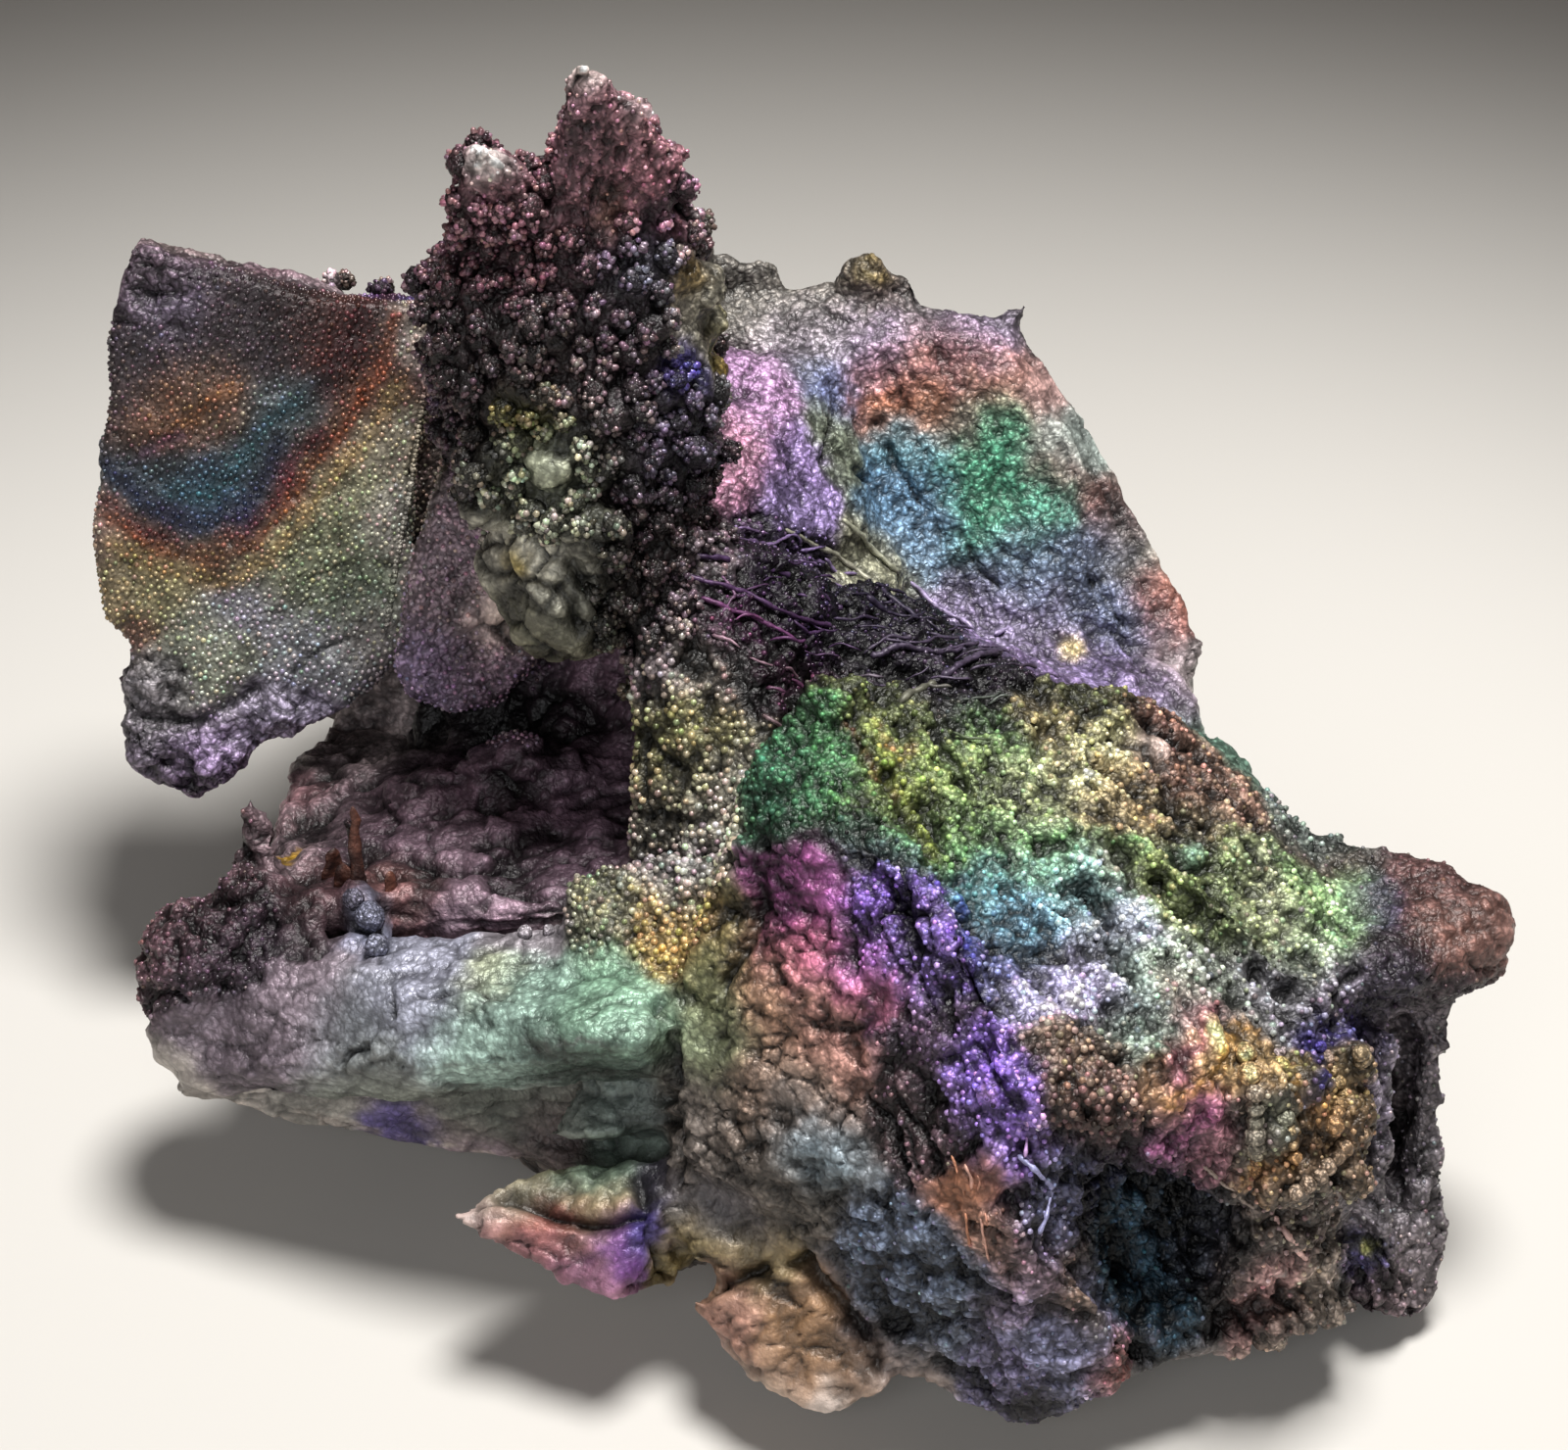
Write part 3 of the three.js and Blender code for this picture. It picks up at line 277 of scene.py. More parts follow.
        "green hollow in painted shade": (570, 1075, 1.9, "#3f4b46", 0.2),
        "green hollow in painted shade, right": (628, 1080, 1.6, "#41524a", 0.2),
        "wine hollow": (545, 1152, 1.2, "#5a4548", 0.3),
        "violet stain under the lip": (415, 1160, 1, "#483a7c"),
        "pink edge": (484, 1182, 1.1, "#93798a", 0.5),
        "pale edge, left": (194, 1130, 1.4, "#9c9289", 0.7),
        "olive grey edge": (318, 1148, 1.4, "#86827a", 0.5),
    },
    "leftFront": {
        "magenta violet": (830, 900, 1.3, "#6e4264"),
        "pink violet field": (832, 962, 1.3, "#92586c"),
        "rose field": (876, 1000, 1.4, "#985e74"),
        "tan field": (800, 1020, 1.7, "#80695a"),
        "dark olive seam": (716, 990, 1.4, "#57563e"),
        "olive grey": (716, 1044, 1.5, "#6b6f5c"),
        "rose tan field": (848, 1046, 1.6, "#8f7069"),
        "brown field": (800, 1126, 1.7, "#7a6a60"),
        "grey brown foot": (716, 1158, 1.6, "#5a5450"),
        "slate gleam": (822, 1166, 1.2, "#5f6f78"),
        "brown strands": (994, 1215, 1.1, "#7a5848"),
        "dark foot": (800, 1200, 1.5, "#46423e"),
    },
    "violetRidge": {
        "vivid violet": (892, 905, 1.3, "#6c3eac"),
        "vivid violet, left": (868, 965, 1.1, "#7c48a4"),
        "violet beads": (942, 972, 1.3, "#684a9a"),
        "dark mauve gap": (950, 1060, 1.3, "#4c3650"),
        "violet ridge, middle": (1014, 1104, 1.1, "#925ee5"),
        "violet ridge, dark": (990, 1140, 1, "#5a3a8c"),
        "violet ridge, lower": (1028, 1160, 1.1, "#906ac6"),
        "slate ridge, foot": (1064, 1248, 1.3, "#5a5a80"),
        "wine gap": (956, 1142, 1.2, "#5a3f46"),
    },
    "frontTop": {
        "dark green side": (800, 782, 1.3, "#276242"),
        "green face": (838, 776, 1.3, "#3a793f"),
        "yellow green": (922, 790, 1.3, "#6c7f31"),
        "olive crest": (892, 722, 1, "#667034"),
        "yellow green, lower": (950, 812, 1.3, "#849542"),
        "moss crest": (984, 786, 1.3, "#758e42"),
        "green crest": (1018, 752, 1.2, "#5f8c4a"),
        "khaki": (1036, 792, 1.4, "#9ca46d"),
        "green": (980, 842, 1.4, "#66904a"),
        "green, left": (932, 854, 1.2, "#3a6d38"),
        "dull green": (890, 860, 1.2, "#3a634a"),
        "cream field": (1094, 768, 1.3, "#dad896"),
        "cream field, right": (1126, 758, 1.1, "#cec97f"),
        "ochre crest": (1070, 738, 0.9, "#9d8043"),
        "tan cream": (1138, 812, 1.2, "#d9bd7f"),
        "orange crest": (1144, 774, 0.9, "#aa894c"),
        "dark olive crest": (1102, 714, 1.1, "#5f6038"),
        "brick crest": (1178, 738, 1, "#8b5f50"),
        "quartz bit": (1166, 760, 0.7, "#ceb4ad", 1),
        "brown field": (1192, 788, 1.1, "#6f4a3c"),
        "brown field, right": (1222, 794, 1.2, "#8a6654"),
        "grey edge": (1336, 858, 1.1, "#77857c"),
        "ochre field": (1190, 834, 1.2, "#8f7e58"),
        "pit": (1215, 850, 0.6, "#2c2422"),
        "green band": (1054, 852, 1.3, "#8aa868"),
        "teal band": (1072, 878, 1.1, "#72b58f"),
        "olive band": (1138, 884, 1.1, "#8a9a72"),
        "yellow olive band": (1192, 900, 1.2, "#a5b85e"),
        "olive field": (1250, 918, 1.3, "#7a8a50"),
        "khaki field": (1304, 926, 1.2, "#a3aa7b"),
        "green, right": (1342, 918, 1.1, "#90bf6d"),
        "pale green, right": (1364, 924, 1, "#a0d284"),
        "sage, right": (1352, 952, 1.1, "#90b67b"),
        "dull sage": (1328, 965, 1.1, "#839771"),
        "teal disc": (1212, 876, 0.5, "#5fa08c", 0.3),
        "pale disc": (1136, 880, 0.4, "#c2c7b5", 0.5),
        "teal": (1018, 900, 1.2, "#4f8c8c"),
        "pale turquoise": (1112, 914, 1.1, "#7fb8bf"),
        "sky blue": (1040, 934, 1.2, "#6aa3c2"),
        "violet blue": (1018, 976, 1.1, "#5b5c92"),
        "pale lavender": (1136, 966, 1.2, "#d9e0ff"),
        "plum grey": (1064, 998, 1.2, "#a39cca"),
        "lavender, lower": (1112, 1010, 1.2, "#d2c5fa"),
        "sea grey": (1160, 996, 1.1, "#abc7bc"),
        "pale sage": (1222, 998, 1.2, "#a2ae9c"),
        "moss sage": (1190, 1000, 1, "#8a9c7f"),
        "dull sage, lower": (1148, 1050, 1.1, "#738878"),
        "grey lilac": (1310, 1002, 1.1, "#9b97a1"),
        "plum grey, right": (1358, 998, 1.1, "#8a7d94"),
    },
    "beadPatch": {
        "tan beads, middle": (1100, 1080, 1.2, "#8a705f"),
        "wine beads": (1112, 1130, 1.1, "#6a5048"),
        "rose beads": (1142, 1142, 1.1, "#8a6860"),
    },
    "stripes": {
        "pink stripes": (1220, 1028, 1, "#aa707a"),
        "gold stripes": (1244, 1074, 0.9, "#bc9248"),
        "orange stripes": (1184, 1122, 0.9, "#bc884a"),
        "magenta stripes": (1220, 1116, 1, "#b25e82"),
        "magenta foot": (1190, 1158, 1, "#a85e8a"),
        "wine foot": (1238, 1164, 1, "#a06072"),
    },
    "knobs": {
        "grey olive knobs": (1280, 1142, 1.1, "#70705c"),
        "gold string": (1316, 1092, 0.8, "#a48a38"),
        "orange string, lower": (1318, 1178, 0.9, "#a2702e"),
        "dark blue gap": (1340, 1104, 0.7, "#383060"),
        "gold knobs": (1364, 1104, 0.8, "#a28038"),
        "orange knobs": (1362, 1142, 0.9, "#aa762e"),
        "brown knobs": (1394, 1092, 1.1, "#7f6a48"),
        "brown knobs, lower": (1388, 1152, 1.2, "#7a6044"),
        "indigo beads": (1364, 1046, 1, "#3a3078"),
        "violet beads": (1334, 1068, 0.9, "#4a4092"),
        "grey brown": (1346, 1202, 1.1, "#7a6a5a"),
        "pale brown": (1310, 1236, 1.1, "#7a6a60"),
    },
    "recess": {
        # Painted shade: the hollow of the recess is painted nearly black, with a navy and teal tint, because
        # it lies in shadow.
        "navy hollow in painted shade": (1160, 1190, 1.8, "#1c1c2a"),
        "hollow in painted shade, right": (1220, 1232, 1.6, "#1f2028"),
        "teal hollow in painted shade": (1160, 1272, 1.6, "#1e303c"),
        "grey ribs": (1220, 1272, 1.2, "#3c3e46"),
        "brown ribs": (1256, 1284, 1.2, "#4a4644"),
        "rose rim": (1292, 1308, 1.1, "#8c6c6a", 0.3),
        "grey rim": (1340, 1322, 1.2, "#6a6058"),
        "violet pocket": (1388, 1284, 0.9, "#2d2848"),
        "yellow green glint": (1394, 1270, 0.4, "#8c8c48"),
        "brown rim, right": (1412, 1338, 1.2, "#56494d"),
    },
    "horn": {
        "brown shoulder": (1345, 884, 1.1, "#5a4840"),
        "indigo side": (1388, 924, 1, "#4a3a62"),
        "brown back": (1490, 900, 1.5, "#6a4a48", 0.2),
        "rose brown tip": (1508, 946, 1.5, "#80594f", 0.4),
        "pale rose tip": (1532, 962, 1, "#8e6a62", 0.6),
        # Painted shade: the horn's underside is darker because it lies in shadow.
        "underside in painted shade": (1418, 975, 1.3, "#3a3038"),
        "plum underside": (1484, 1020, 1.3, "#4a4048"),
        "grey plum underside": (1430, 1014, 1.2, "#4a4454"),
        "wall, plum": (1424, 1110, 1.3, "#8f8497"),
        "wall, dark": (1462, 1080, 1.5, "#7a7177"),
        "wall, dark lower": (1466, 1200, 1.8, "#7c747a"),
        "wall, grey": (1460, 1290, 1.5, "#8a7f84"),
        "wall, pale foot": (1472, 1318, 0.8, "#6a6060", 0.4),
    },
    "apron": {
        "blue slate, middle": (932, 1290, 1.4, "#5f687a"),
        "dark slate": (920, 1350, 1.4, "#4f5562"),
        "lilac grey": (1040, 1308, 1.2, "#6a6072"),
        "blue grey": (1100, 1382, 1.3, "#6a6a82"),
        "rust foot": (1136, 1394, 0.9, "#7c5048"),
        "black spot": (1042, 1434, 0.9, "#161414"),
        "grey foot": (1016, 1416, 1.1, "#5f5a72"),
        "pink beads": (1052, 1288, 1, "#8a7078"),
        "tan beads": (1018, 1272, 1, "#8c6c5c"),
        "brown seam": (1088, 1316, 1, "#5a4a40"),
        "dark seam": (1120, 1352, 1, "#4a4038"),
    },
    "shards": {
        "grey green shard": (622, 1134, 1.2, "#707b76", 0.3),
        "pale grey shard": (582, 1138, 1.1, "#8c928c", 0.5),
        "green grey shard": (628, 1168, 1, "#809288", 0.4),
        "khaki top": (548, 1194, 1.2, "#8c866a", 0.3),
        "sage top": (592, 1203, 1.2, "#8ba28e", 0.3),
        "pale top, left": (520, 1217, 1.1, "#9c9282", 0.5),
        "tan side": (604, 1237, 1.1, "#aa9270", 0.3),
        "brick recess": (534, 1242, 0.9, "#8c5a48", 0.3),
        "brick recess, right": (568, 1259, 1, "#7c4038", 0.2),
        "white tip": (468, 1242, 1.1, "#e4ccc4", 1),
        "rose edge": (502, 1260, 1, "#ac7a7c", 0.5),
        "rose edge, middle": (548, 1284, 1, "#a47478", 0.4),
        "pink edge": (590, 1306, 1.1, "#a4748c", 0.3),
        "violet stain": (626, 1270, 0.9, "#7c4a92"),
        "blue violet stain": (660, 1256, 0.8, "#5a50a4"),
        "gold olive lump": (708, 1280, 1.2, "#8c7c50", 0.1),
        "olive lump": (752, 1284, 1.3, "#8c7c5a", 0.1),
        "grey lump": (732, 1250, 1.2, "#66646c"),
        "dark seam": (660, 1210, 0.9, "#322f3a"),
        "rose shard": (742, 1334, 1.2, "#b88c7c", 0.5),
        "tan shard, middle": (830, 1368, 1.4, "#907053", 0.5),
        "peach shard": (878, 1408, 1.3, "#90725a", 0.6),
        "peach shard, lower": (802, 1404, 1.1, "#9d7e68", 0.7),
        "cream edge": (790, 1424, 0.8, "#e4ccba", 1),
        "cream edge, middle": (850, 1442, 0.9, "#e4d4ca", 1),
        "cream edge, right": (908, 1424, 0.9, "#dcc8be", 1),
    },
}

# The same on the sides that the photo doesn't show: place in mm, reach in mm, colour, bareness
rearPatches = {
    "back of the wide plate": (-36.0, 24.5, 42.0, 3.4, "#6a5a60"),
    "slate on its back": (-38.0, 21.0, 32.0, 3.6, "#55606a"),
    "foot of its back": (-37.0, 17.0, 24.0, 3.2, "#5f4c56"),
    "brown ridge": (-28.0, 30.0, 36.0, 3.0, "#6b5d56"),
    "lilac face": (-26.0, 33.0, 28.0, 3.4, "#7a6a80"),
    "teal face": (-20.0, 35.0, 20.0, 3.6, "#55807a"),
    "rust brown foot": (-27.0, 30.0, 14.0, 3.2, "#6b5048", 0.1),
    "plum knob": (-12.0, 36.0, 32.0, 3.2, "#5c4d5a"),
    "olive green band": (-9.0, 36.0, 20.0, 3.2, "#6f7f52"),
    "slate blue face": (-3.0, 37.5, 28.0, 3.2, "#6f6f92"),
    "mauve face": (4.0, 36.0, 30.0, 3.2, "#8a6f8c"),
    "ochre face": (2.0, 36.5, 17.0, 3.4, "#8b7150"),
    "brown back of the plate": (12.0, 32.5, 26.0, 3.4, "#5a4a4c"),
    "broken grey stone": (14.0, 31.0, 16.0, 3.4, "#7d7672", 0.3),
    "pale side of the plate": (20.5, 24.0, 20.0, 3.0, "#85766e", 0.4),
    "grey stone": (22.0, 18.0, 12.0, 3.4, "#6b6160", 0.3),
    "green grey side": (29.5, 3.5, 20.0, 3.2, "#5d7468"),
    "brown side": (32.0, 0.5, 12.0, 3.4, "#6a5a50"),
    "plum side": (36.5, -7.0, 14.0, 3.2, "#4c434c"),
    "grey side": (38.5, -12.0, 8.0, 3.0, "#585050", 0.2),
    "back of the column": (-10.0, 16.0, 52.0, 3.2, "#4c3b40"),
    "dark back of the column": (-16.0, 15.0, 46.0, 3.4, "#453840"),
    "back of the spires": (-12.0, 9.0, 62.0, 2.2, "#5a4448"),
    "left side of the foot": (-32.0, 2.0, 12.0, 3.4, "#6a5c60", 0.3),
    "broken stone, left": (-26.0, 12.0, 9.0, 3.6, "#7a7070", 0.5),
    "broken quartz, back left": (-20.0, 26.0, 6.0, 4.0, "#8a827c", 0.7),
    "broken quartz, back": (-2.0, 30.0, 5.0, 4.0, "#8f8680", 0.8),
    "broken quartz, back right": (16.0, 24.0, 5.0, 4.0, "#867a76", 0.7),
    "broken quartz, right": (28.0, 6.0, 4.0, 4.0, "#80766f", 0.7),
    "broken quartz under the ledge": (-14.0, -10.0, 2.0, 4.0, "#8a807a", 0.8),
    "broken quartz under the front": (8.0, -20.0, 1.0, 4.5, "#857c78", 0.8),
    "underside": (4.0, 4.0, 0.0, 7.0, "#8f8882", 0.9),
    "underside of the ledge": (-30.0, -8.0, 5.0, 2.6, "#6f6868", 0.5),
    "underside of the ledge, right": (-20.0, -9.0, 5.0, 3.0, "#6a6260", 0.5),
}

# Narrow bands of colour, such as the rings of the arc: course in pixels, half width in mm, colour
colourBands = {
    "teal streak of the arc": (
        [(180, 500), (213, 505), (235, 480), (256, 452), (300, 415), (322, 392)],
        0.7, "#34525c"),
    "navy band of the arc": (
        [(113, 480), (153, 518), (200, 538), (242, 524), (267, 490), (290, 452)],
        0.75, "#20243c"),
    "wine rim of the arc": (
        [(112, 512), (153, 548), (200, 561), (247, 546), (280, 510), (302, 468), (325, 440)],
        0.5, "#4c1c24"),
    "rust rim of the arc": (
        [(112, 528), (158, 562), (210, 574), (258, 558), (293, 516), (320, 470), (356, 428), (384, 380)],
        0.5, "#6e3a24"),
    "ochre halo of the arc": (
        [(116, 556), (170, 584), (222, 592), (276, 570), (312, 524), (340, 484), (378, 444), (404, 396)],
        0.6, "#8c744e"),
    "maroon beads over the arc": ([(330, 396), (352, 356), (374, 318), (398, 300)], 1.3, "#34181c"),
    "rust beads at the edge": ([(372, 408), (392, 362), (406, 322)], 0.5, "#7c4530"),
    "orange streak in the field": ([(165, 455), (190, 430), (222, 404), (238, 398)], 0.5, "#7c5236"),
    "violet fleck in the field": ([(150, 462), (182, 446)], 0.4, "#5a3a52"),
    "pale rim of the plate": ([(140, 232), (200, 246), (262, 264), (330, 282), (410, 296)], 0.45, "#8d7e7c"),
    "rust streaks of the green face": ([(872, 742), (896, 775), (914, 806)], 0.35, "#8a4a34"),
    "rust streaks, right": ([(914, 738), (926, 772)], 0.3, "#9a5a3c"),
    # Painted shade: a black band in the seam under the green face.
    "painted shade in the seam under the green face": (
        [(796, 800), (822, 848), (862, 872), (900, 884), (926, 906)],
        0.5, "#16181c"),
    # Painted shade: a black band in the gap beside the flap.
    "painted shade in the gap beside the flap": ([(904, 892), (920, 935), (948, 975), (976, 1004)], 0.4, "#1a1a22"),
    "yellow crest of the green face": ([(905, 742), (918, 790), (940, 832), (962, 872)], 0.6, "#a8b458"),
    # Painted shade: a black band along the edge of the top, where the face beyond falls into shadow.
    "painted shade along the edge of the top": (
        [(860, 704), (900, 716), (950, 742), (1010, 738), (1090, 716), (1150, 716)],
        0.45, "#1c2418"),
    "green rim of the blue field": (
        [(966, 878), (1000, 868), (1060, 858), (1120, 846), (1180, 868)],
        0.6, "#7fb070"),
    "blue seam": ([(988, 900), (982, 940), (990, 975), (1004, 1010)], 0.5, "#3c4ca0"),
    "violet seam": ([(960, 900), (985, 985), (1010, 1060), (1022, 1130), (1036, 1190)], 0.6, "#6c40b0"),
    "magenta band of the left edge": ([(812, 880), (852, 930), (880, 1000), (905, 1060)], 0.5, "#7c4c70"),
    # Painted shade: a black band in the gap beside the ridge.
    "painted shade in the gap beside the ridge": ([(900, 1062), (940, 1100), (962, 1150), (1000, 1190)], 0.6, "#2a2028"),
    "gold stripe": ([(1186, 1128), (1222, 1108), (1252, 1076), (1272, 1046)], 0.4, "#c89444"),
    "magenta stripe": ([(1176, 1168), (1212, 1146), (1238, 1124)], 0.5, "#a85a8c"),
    "pink stripe": ([(1206, 1090), (1226, 1056), (1246, 1022)], 0.5, "#b87480"),
    "orange string": ([(1306, 1078), (1316, 1122), (1324, 1180)], 0.3, "#b4802e"),
    "indigo stain under the crest": ([(1350, 1020), (1366, 1058), (1346, 1100)], 0.5, "#30287a"),
    "cream rib": ([(1086, 740), (1100, 780), (1128, 812)], 0.5, "#bdb488"),
    "tan rib": ([(1122, 770), (1152, 806), (1176, 838)], 0.5, "#b8986c"),
    "dark rim of the lip": (
        [(196, 1122), (262, 1118), (330, 1094), (392, 1082), (452, 1094), (540, 1070), (640, 1052)],
        0.3, "#4a4a48"),
    "pale foot of the ledge": (
        [(190, 1142), (262, 1160), (340, 1166), (420, 1186), (498, 1196)],
        0.4, "#b0a49c"),
}

# Cracks and grooves, painted dark with shade inside: their course in pixels, half width and depth in mm
cracks = {
    "long slanting crack on the back plate": ([(895, 430), (912, 475), (942, 520)], 0.3, 0.7),
    "crack beside it": ([(855, 452), (885, 492)], 0.35, 0.6),
    "short crack, left": ([(862, 400), (838, 470)], 0.25, 0.4),
    "short crack, low": ([(985, 555), (1020, 600)], 0.22, 0.4),
    "short crack, right": ([(1110, 590), (1150, 640)], 0.22, 0.4),
    "short crack, low right": ([(1130, 640), (1178, 695)], 0.22, 0.4),
    "short crack, middle": ([(970, 600), (990, 640)], 0.22, 0.35),
    "long groove on the top": ([(1140, 862), (1180, 905), (1225, 945), (1262, 975), (1308, 1012)], 0.6, 1.1),
    "second groove": ([(1110, 908), (1135, 950), (1155, 1000)], 0.52, 0.9),
    "third groove": ([(1292, 962), (1315, 1000), (1340, 1040)], 0.52, 0.8),
    "cut in the green face": ([(905, 790), (925, 830)], 0.4, 0.7),
    "cut in the green face, lower": ([(940, 820), (965, 862)], 0.4, 0.7),
    "gap under the flap": ([(904, 895), (916, 930), (932, 962)], 0.45, 1.0),
    "cut in the sage foot": ([(1140, 1030), (1152, 1100)], 0.3, 0.6),
    "cut in the cream field": ([(1078, 735), (1062, 760)], 0.35, 0.6),
    "cut in the cream field, right": ([(1112, 770), (1136, 800)], 0.3, 0.6),
    "edge of the brown field": ([(1170, 770), (1200, 830), (1230, 850)], 0.4, 0.7),
    "stripe cut": ([(1204, 1012), (1222, 1050)], 0.18, 0.4),
    "stripe cut, middle": ([(1222, 1010), (1244, 1052)], 0.18, 0.4),
    "stripe cut, right": ([(1240, 1012), (1262, 1050)], 0.18, 0.4),
    "seam at the ledge's end": ([(674, 1020), (690, 1075), (680, 1130), (692, 1205)], 0.45, 1.0),
    "seam of the left edge": ([(776, 860), (762, 960), (735, 1015)], 0.4, 0.7),
    "crack in the lip": ([(448, 1014), (480, 1004), (522, 1020)], 0.22, 0.35),
    "crack in the lip, short": ([(398, 1008), (404, 1032)], 0.2, 0.3),
    "crack at the lip's edge": ([(346, 1084), (374, 1072)], 0.25, 0.5),
    "crack in the lip, right": ([(560, 980), (600, 1000)], 0.22, 0.35),
    "recess of the pointed shard": ([(512, 1222), (560, 1238), (610, 1252), (655, 1246)], 0.45, 0.8),
    "seam at the violet stain": ([(652, 1206), (662, 1240), (676, 1300)], 0.4, 0.7),
    "seam over the tan shard": ([(640, 1336), (700, 1322), (760, 1302), (828, 1288)], 0.45, 0.9),
    "seam beside the tan shard": ([(822, 1290), (866, 1345), (905, 1405)], 0.5, 1.0),
    "crack in the boulder": ([(585, 572), (600, 605), (632, 642)], 0.4, 0.9),
    "crack in the boulder, left": ([(538, 592), (566, 602), (590, 640)], 0.32, 0.7),
    "crack in the boulder, top": ([(545, 545), (590, 560), (640, 550)], 0.3, 0.5),
    "crack in the lower lobe": ([(140, 735), (200, 740), (262, 700)], 0.3, 0.5),
    "crack in the lower lobe, left": ([(150, 790), (210, 770)], 0.25, 0.4),
    "crack in the grey field": ([(290, 700), (330, 660), (352, 655)], 0.22, 0.35),
    "crack in the cave wall": ([(430, 840), (480, 820), (530, 838)], 0.3, 0.5),
    "crack in the cave wall, right": ([(500, 790), (545, 820), (600, 800)], 0.3, 0.5),
    "crack in the cave wall, low": ([(420, 875), (480, 888), (540, 880)], 0.3, 0.5),
}

# Thin crusted strands over the furrow and on the front: their course in pixels, radius in mm
strands = {
    "strand over the furrow": ([(705, 566), (760, 575), (815, 590), (860, 622)], 0.32),
    "strand over the furrow, second": ([(700, 588), (755, 602), (800, 625), (850, 640)], 0.28),
    "strand over the furrow, third": ([(724, 548), (790, 556), (850, 580), (905, 625)], 0.32),
    "strand over the furrow, fourth": ([(712, 610), (765, 628), (815, 655)], 0.24),
    "forked strand": ([(738, 590), (752, 608), (738, 626)], 0.2),
    "forked strand, right": ([(752, 608), (775, 612)], 0.18),
    "crest strand": ([(800, 540), (860, 570), (910, 610), (960, 645)], 0.3),
    "crest strand, right": ([(860, 530), (910, 580), (965, 625), (1010, 650)], 0.3),
    "strand over the gap in painted shade": ([(888, 668), (925, 660), (965, 666)], 0.38),
    "long strand over the gap in painted shade": ([(918, 716), (955, 694), (990, 672), (1026, 664)], 0.4),
    "strand end": ([(965, 666), (1000, 655), (1030, 640)], 0.28),
    "rusty wire": ([(984, 1188), (998, 1235), (1010, 1290)], 0.16),
    "rusty wire, left": ([(972, 1180), (984, 1225), (990, 1270)], 0.14),
    "rusty wire, right": ([(996, 1200), (1006, 1250)], 0.12),
    "fallen rib": ([(1300, 1240), (1330, 1282), (1345, 1315)], 0.3),
    "seam rib": ([(1228, 1190), (1262, 1220), (1290, 1240)], 0.2),
    "strand at the violet ridge": ([(1030, 1085), (1050, 1120), (1046, 1180)], 0.2),
    "strand at the violet ridge, lower": ([(1040, 1180), (1075, 1210), (1060, 1260)], 0.24),
}

# Thin rusty fins that stand in the cave: foot in pixels, height, width and thickness in mm
rustFins = {
    "tall fin": (364, 886, 4.3, 0.9, 0.35),
    "broad fin": (341, 890, 1.9, 1.5, 0.4),
    "low fin": (352, 903, 1.5, 1.4, 0.4),
    "fin by the slate knobs": (400, 908, 1.3, 0.9, 0.35),
}

# Small dark lumps that stand on the upper edge of the left plate, in pixels
plateLumps = {
    "lump": (334, 288),
    "lump in front": (343, 291),
    "lump beside it": (352, 290),
    "small lump": (384, 295),
    "small lump beside it": (394, 297),
}
# Rows of round knobs: their course in pixels and the knobs' radius in mm
knobRows = {
    "gold row": ([(1304, 1074), (1310, 1140), (1325, 1194)], 0.5),
    "second gold row": ([(1346, 1068), (1370, 1116), (1358, 1158)], 0.5),
    "olive row": ([(1271, 1074), (1280, 1116), (1280, 1158), (1286, 1200)], 0.62),
    "brown row": ([(1388, 1074), (1400, 1116), (1388, 1164)], 0.55),
    "brown row below": ([(1370, 1170), (1346, 1200), (1310, 1225)], 0.55),
    "row at the edge of the plate": ([(433, 396), (419, 499), (405, 573), (394, 643)], 0.2),
}
# Knobs that stand alone: pixel across and down, radius in mm
singleKnobs = {
    "pearl": (385, 965, 0.75),
    "slate knob": (379, 934, 1.0),
    "slate knob behind": (362, 918, 0.7),
    "lilac bead": (536, 951, 0.45),
    "small lilac bead": (560, 949, 0.36),
    "yellow bead on the column": (538, 432, 0.5),
}


def toLinear(hexColour):
    channels = [int(hexColour[i:i + 2], 16) / 255 for i in (1, 3, 5)]
    return [c / 12.92 if c <= 0.04045 else ((c + 0.055) / 1.055) ** 2.4 for c in channels]


# Places on the solid
tilt = math.radians(photo["elevation"])
lookAlong = np.array([0, math.cos(tilt), -math.sin(tilt)])
lookUp = np.array([0, math.sin(tilt), math.cos(tilt)])
photoEye = np.array(photo["aim"]) - lookAlong * photo["distance"]
focalPixels = photo["lens"] / photo["sensor"] * photo["width"]
solidTree = BVHTree.FromObject(solidNode, bpy.context.evaluated_depsgraph_get())


# The place in mm that shows at a pixel of the photo. A pixel just off the solid moves inwards.
def placeAt(x, y):
    while True:
        across, down = x - photo["width"] / 2, y - photo["height"] / 2
        ray = lookAlong + (np.array([across, 0, 0]) - lookUp * down) / focalPixels
        hit = solidTree.ray_cast(Vector(photoEye * mm), Vector(ray))[0]
        if hit is not None:
            return np.array(hit) / mm
        x -= across * photo["inwards"]
        y -= down * photo["inwards"]


# A course of pixels as places on the solid, close enough together to follow it
def traced(course, parts=4):
    pixels = [np.array(a) + (np.array(b) - a) * part / parts
              for a, b in zip(course, course[1:]) for part in range(parts)]
    return [placeAt(*pixel) for pixel in pixels + [course[-1]]]


# Noise. A number from 0 to 1 for each cell of a lattice. The large numbers only scatter the cells.
def hashed(cells, salt):
    n = (cells[..., 0] * 73856093) ^ (cells[..., 1] * 19349663) ^ (cells[..., 2] * 83492791)
    n = (n ^ (salt * 40503)) & 0x7FFFFFFF
    n = ((n ^ (n >> 15)) * 668265263) & 0x7FFFFFFF
    n = ((n ^ (n >> 13)) * 374761393) & 0x7FFFFFFF
    return ((n ^ (n >> 16)) & 0xFFFF) / 65535.0


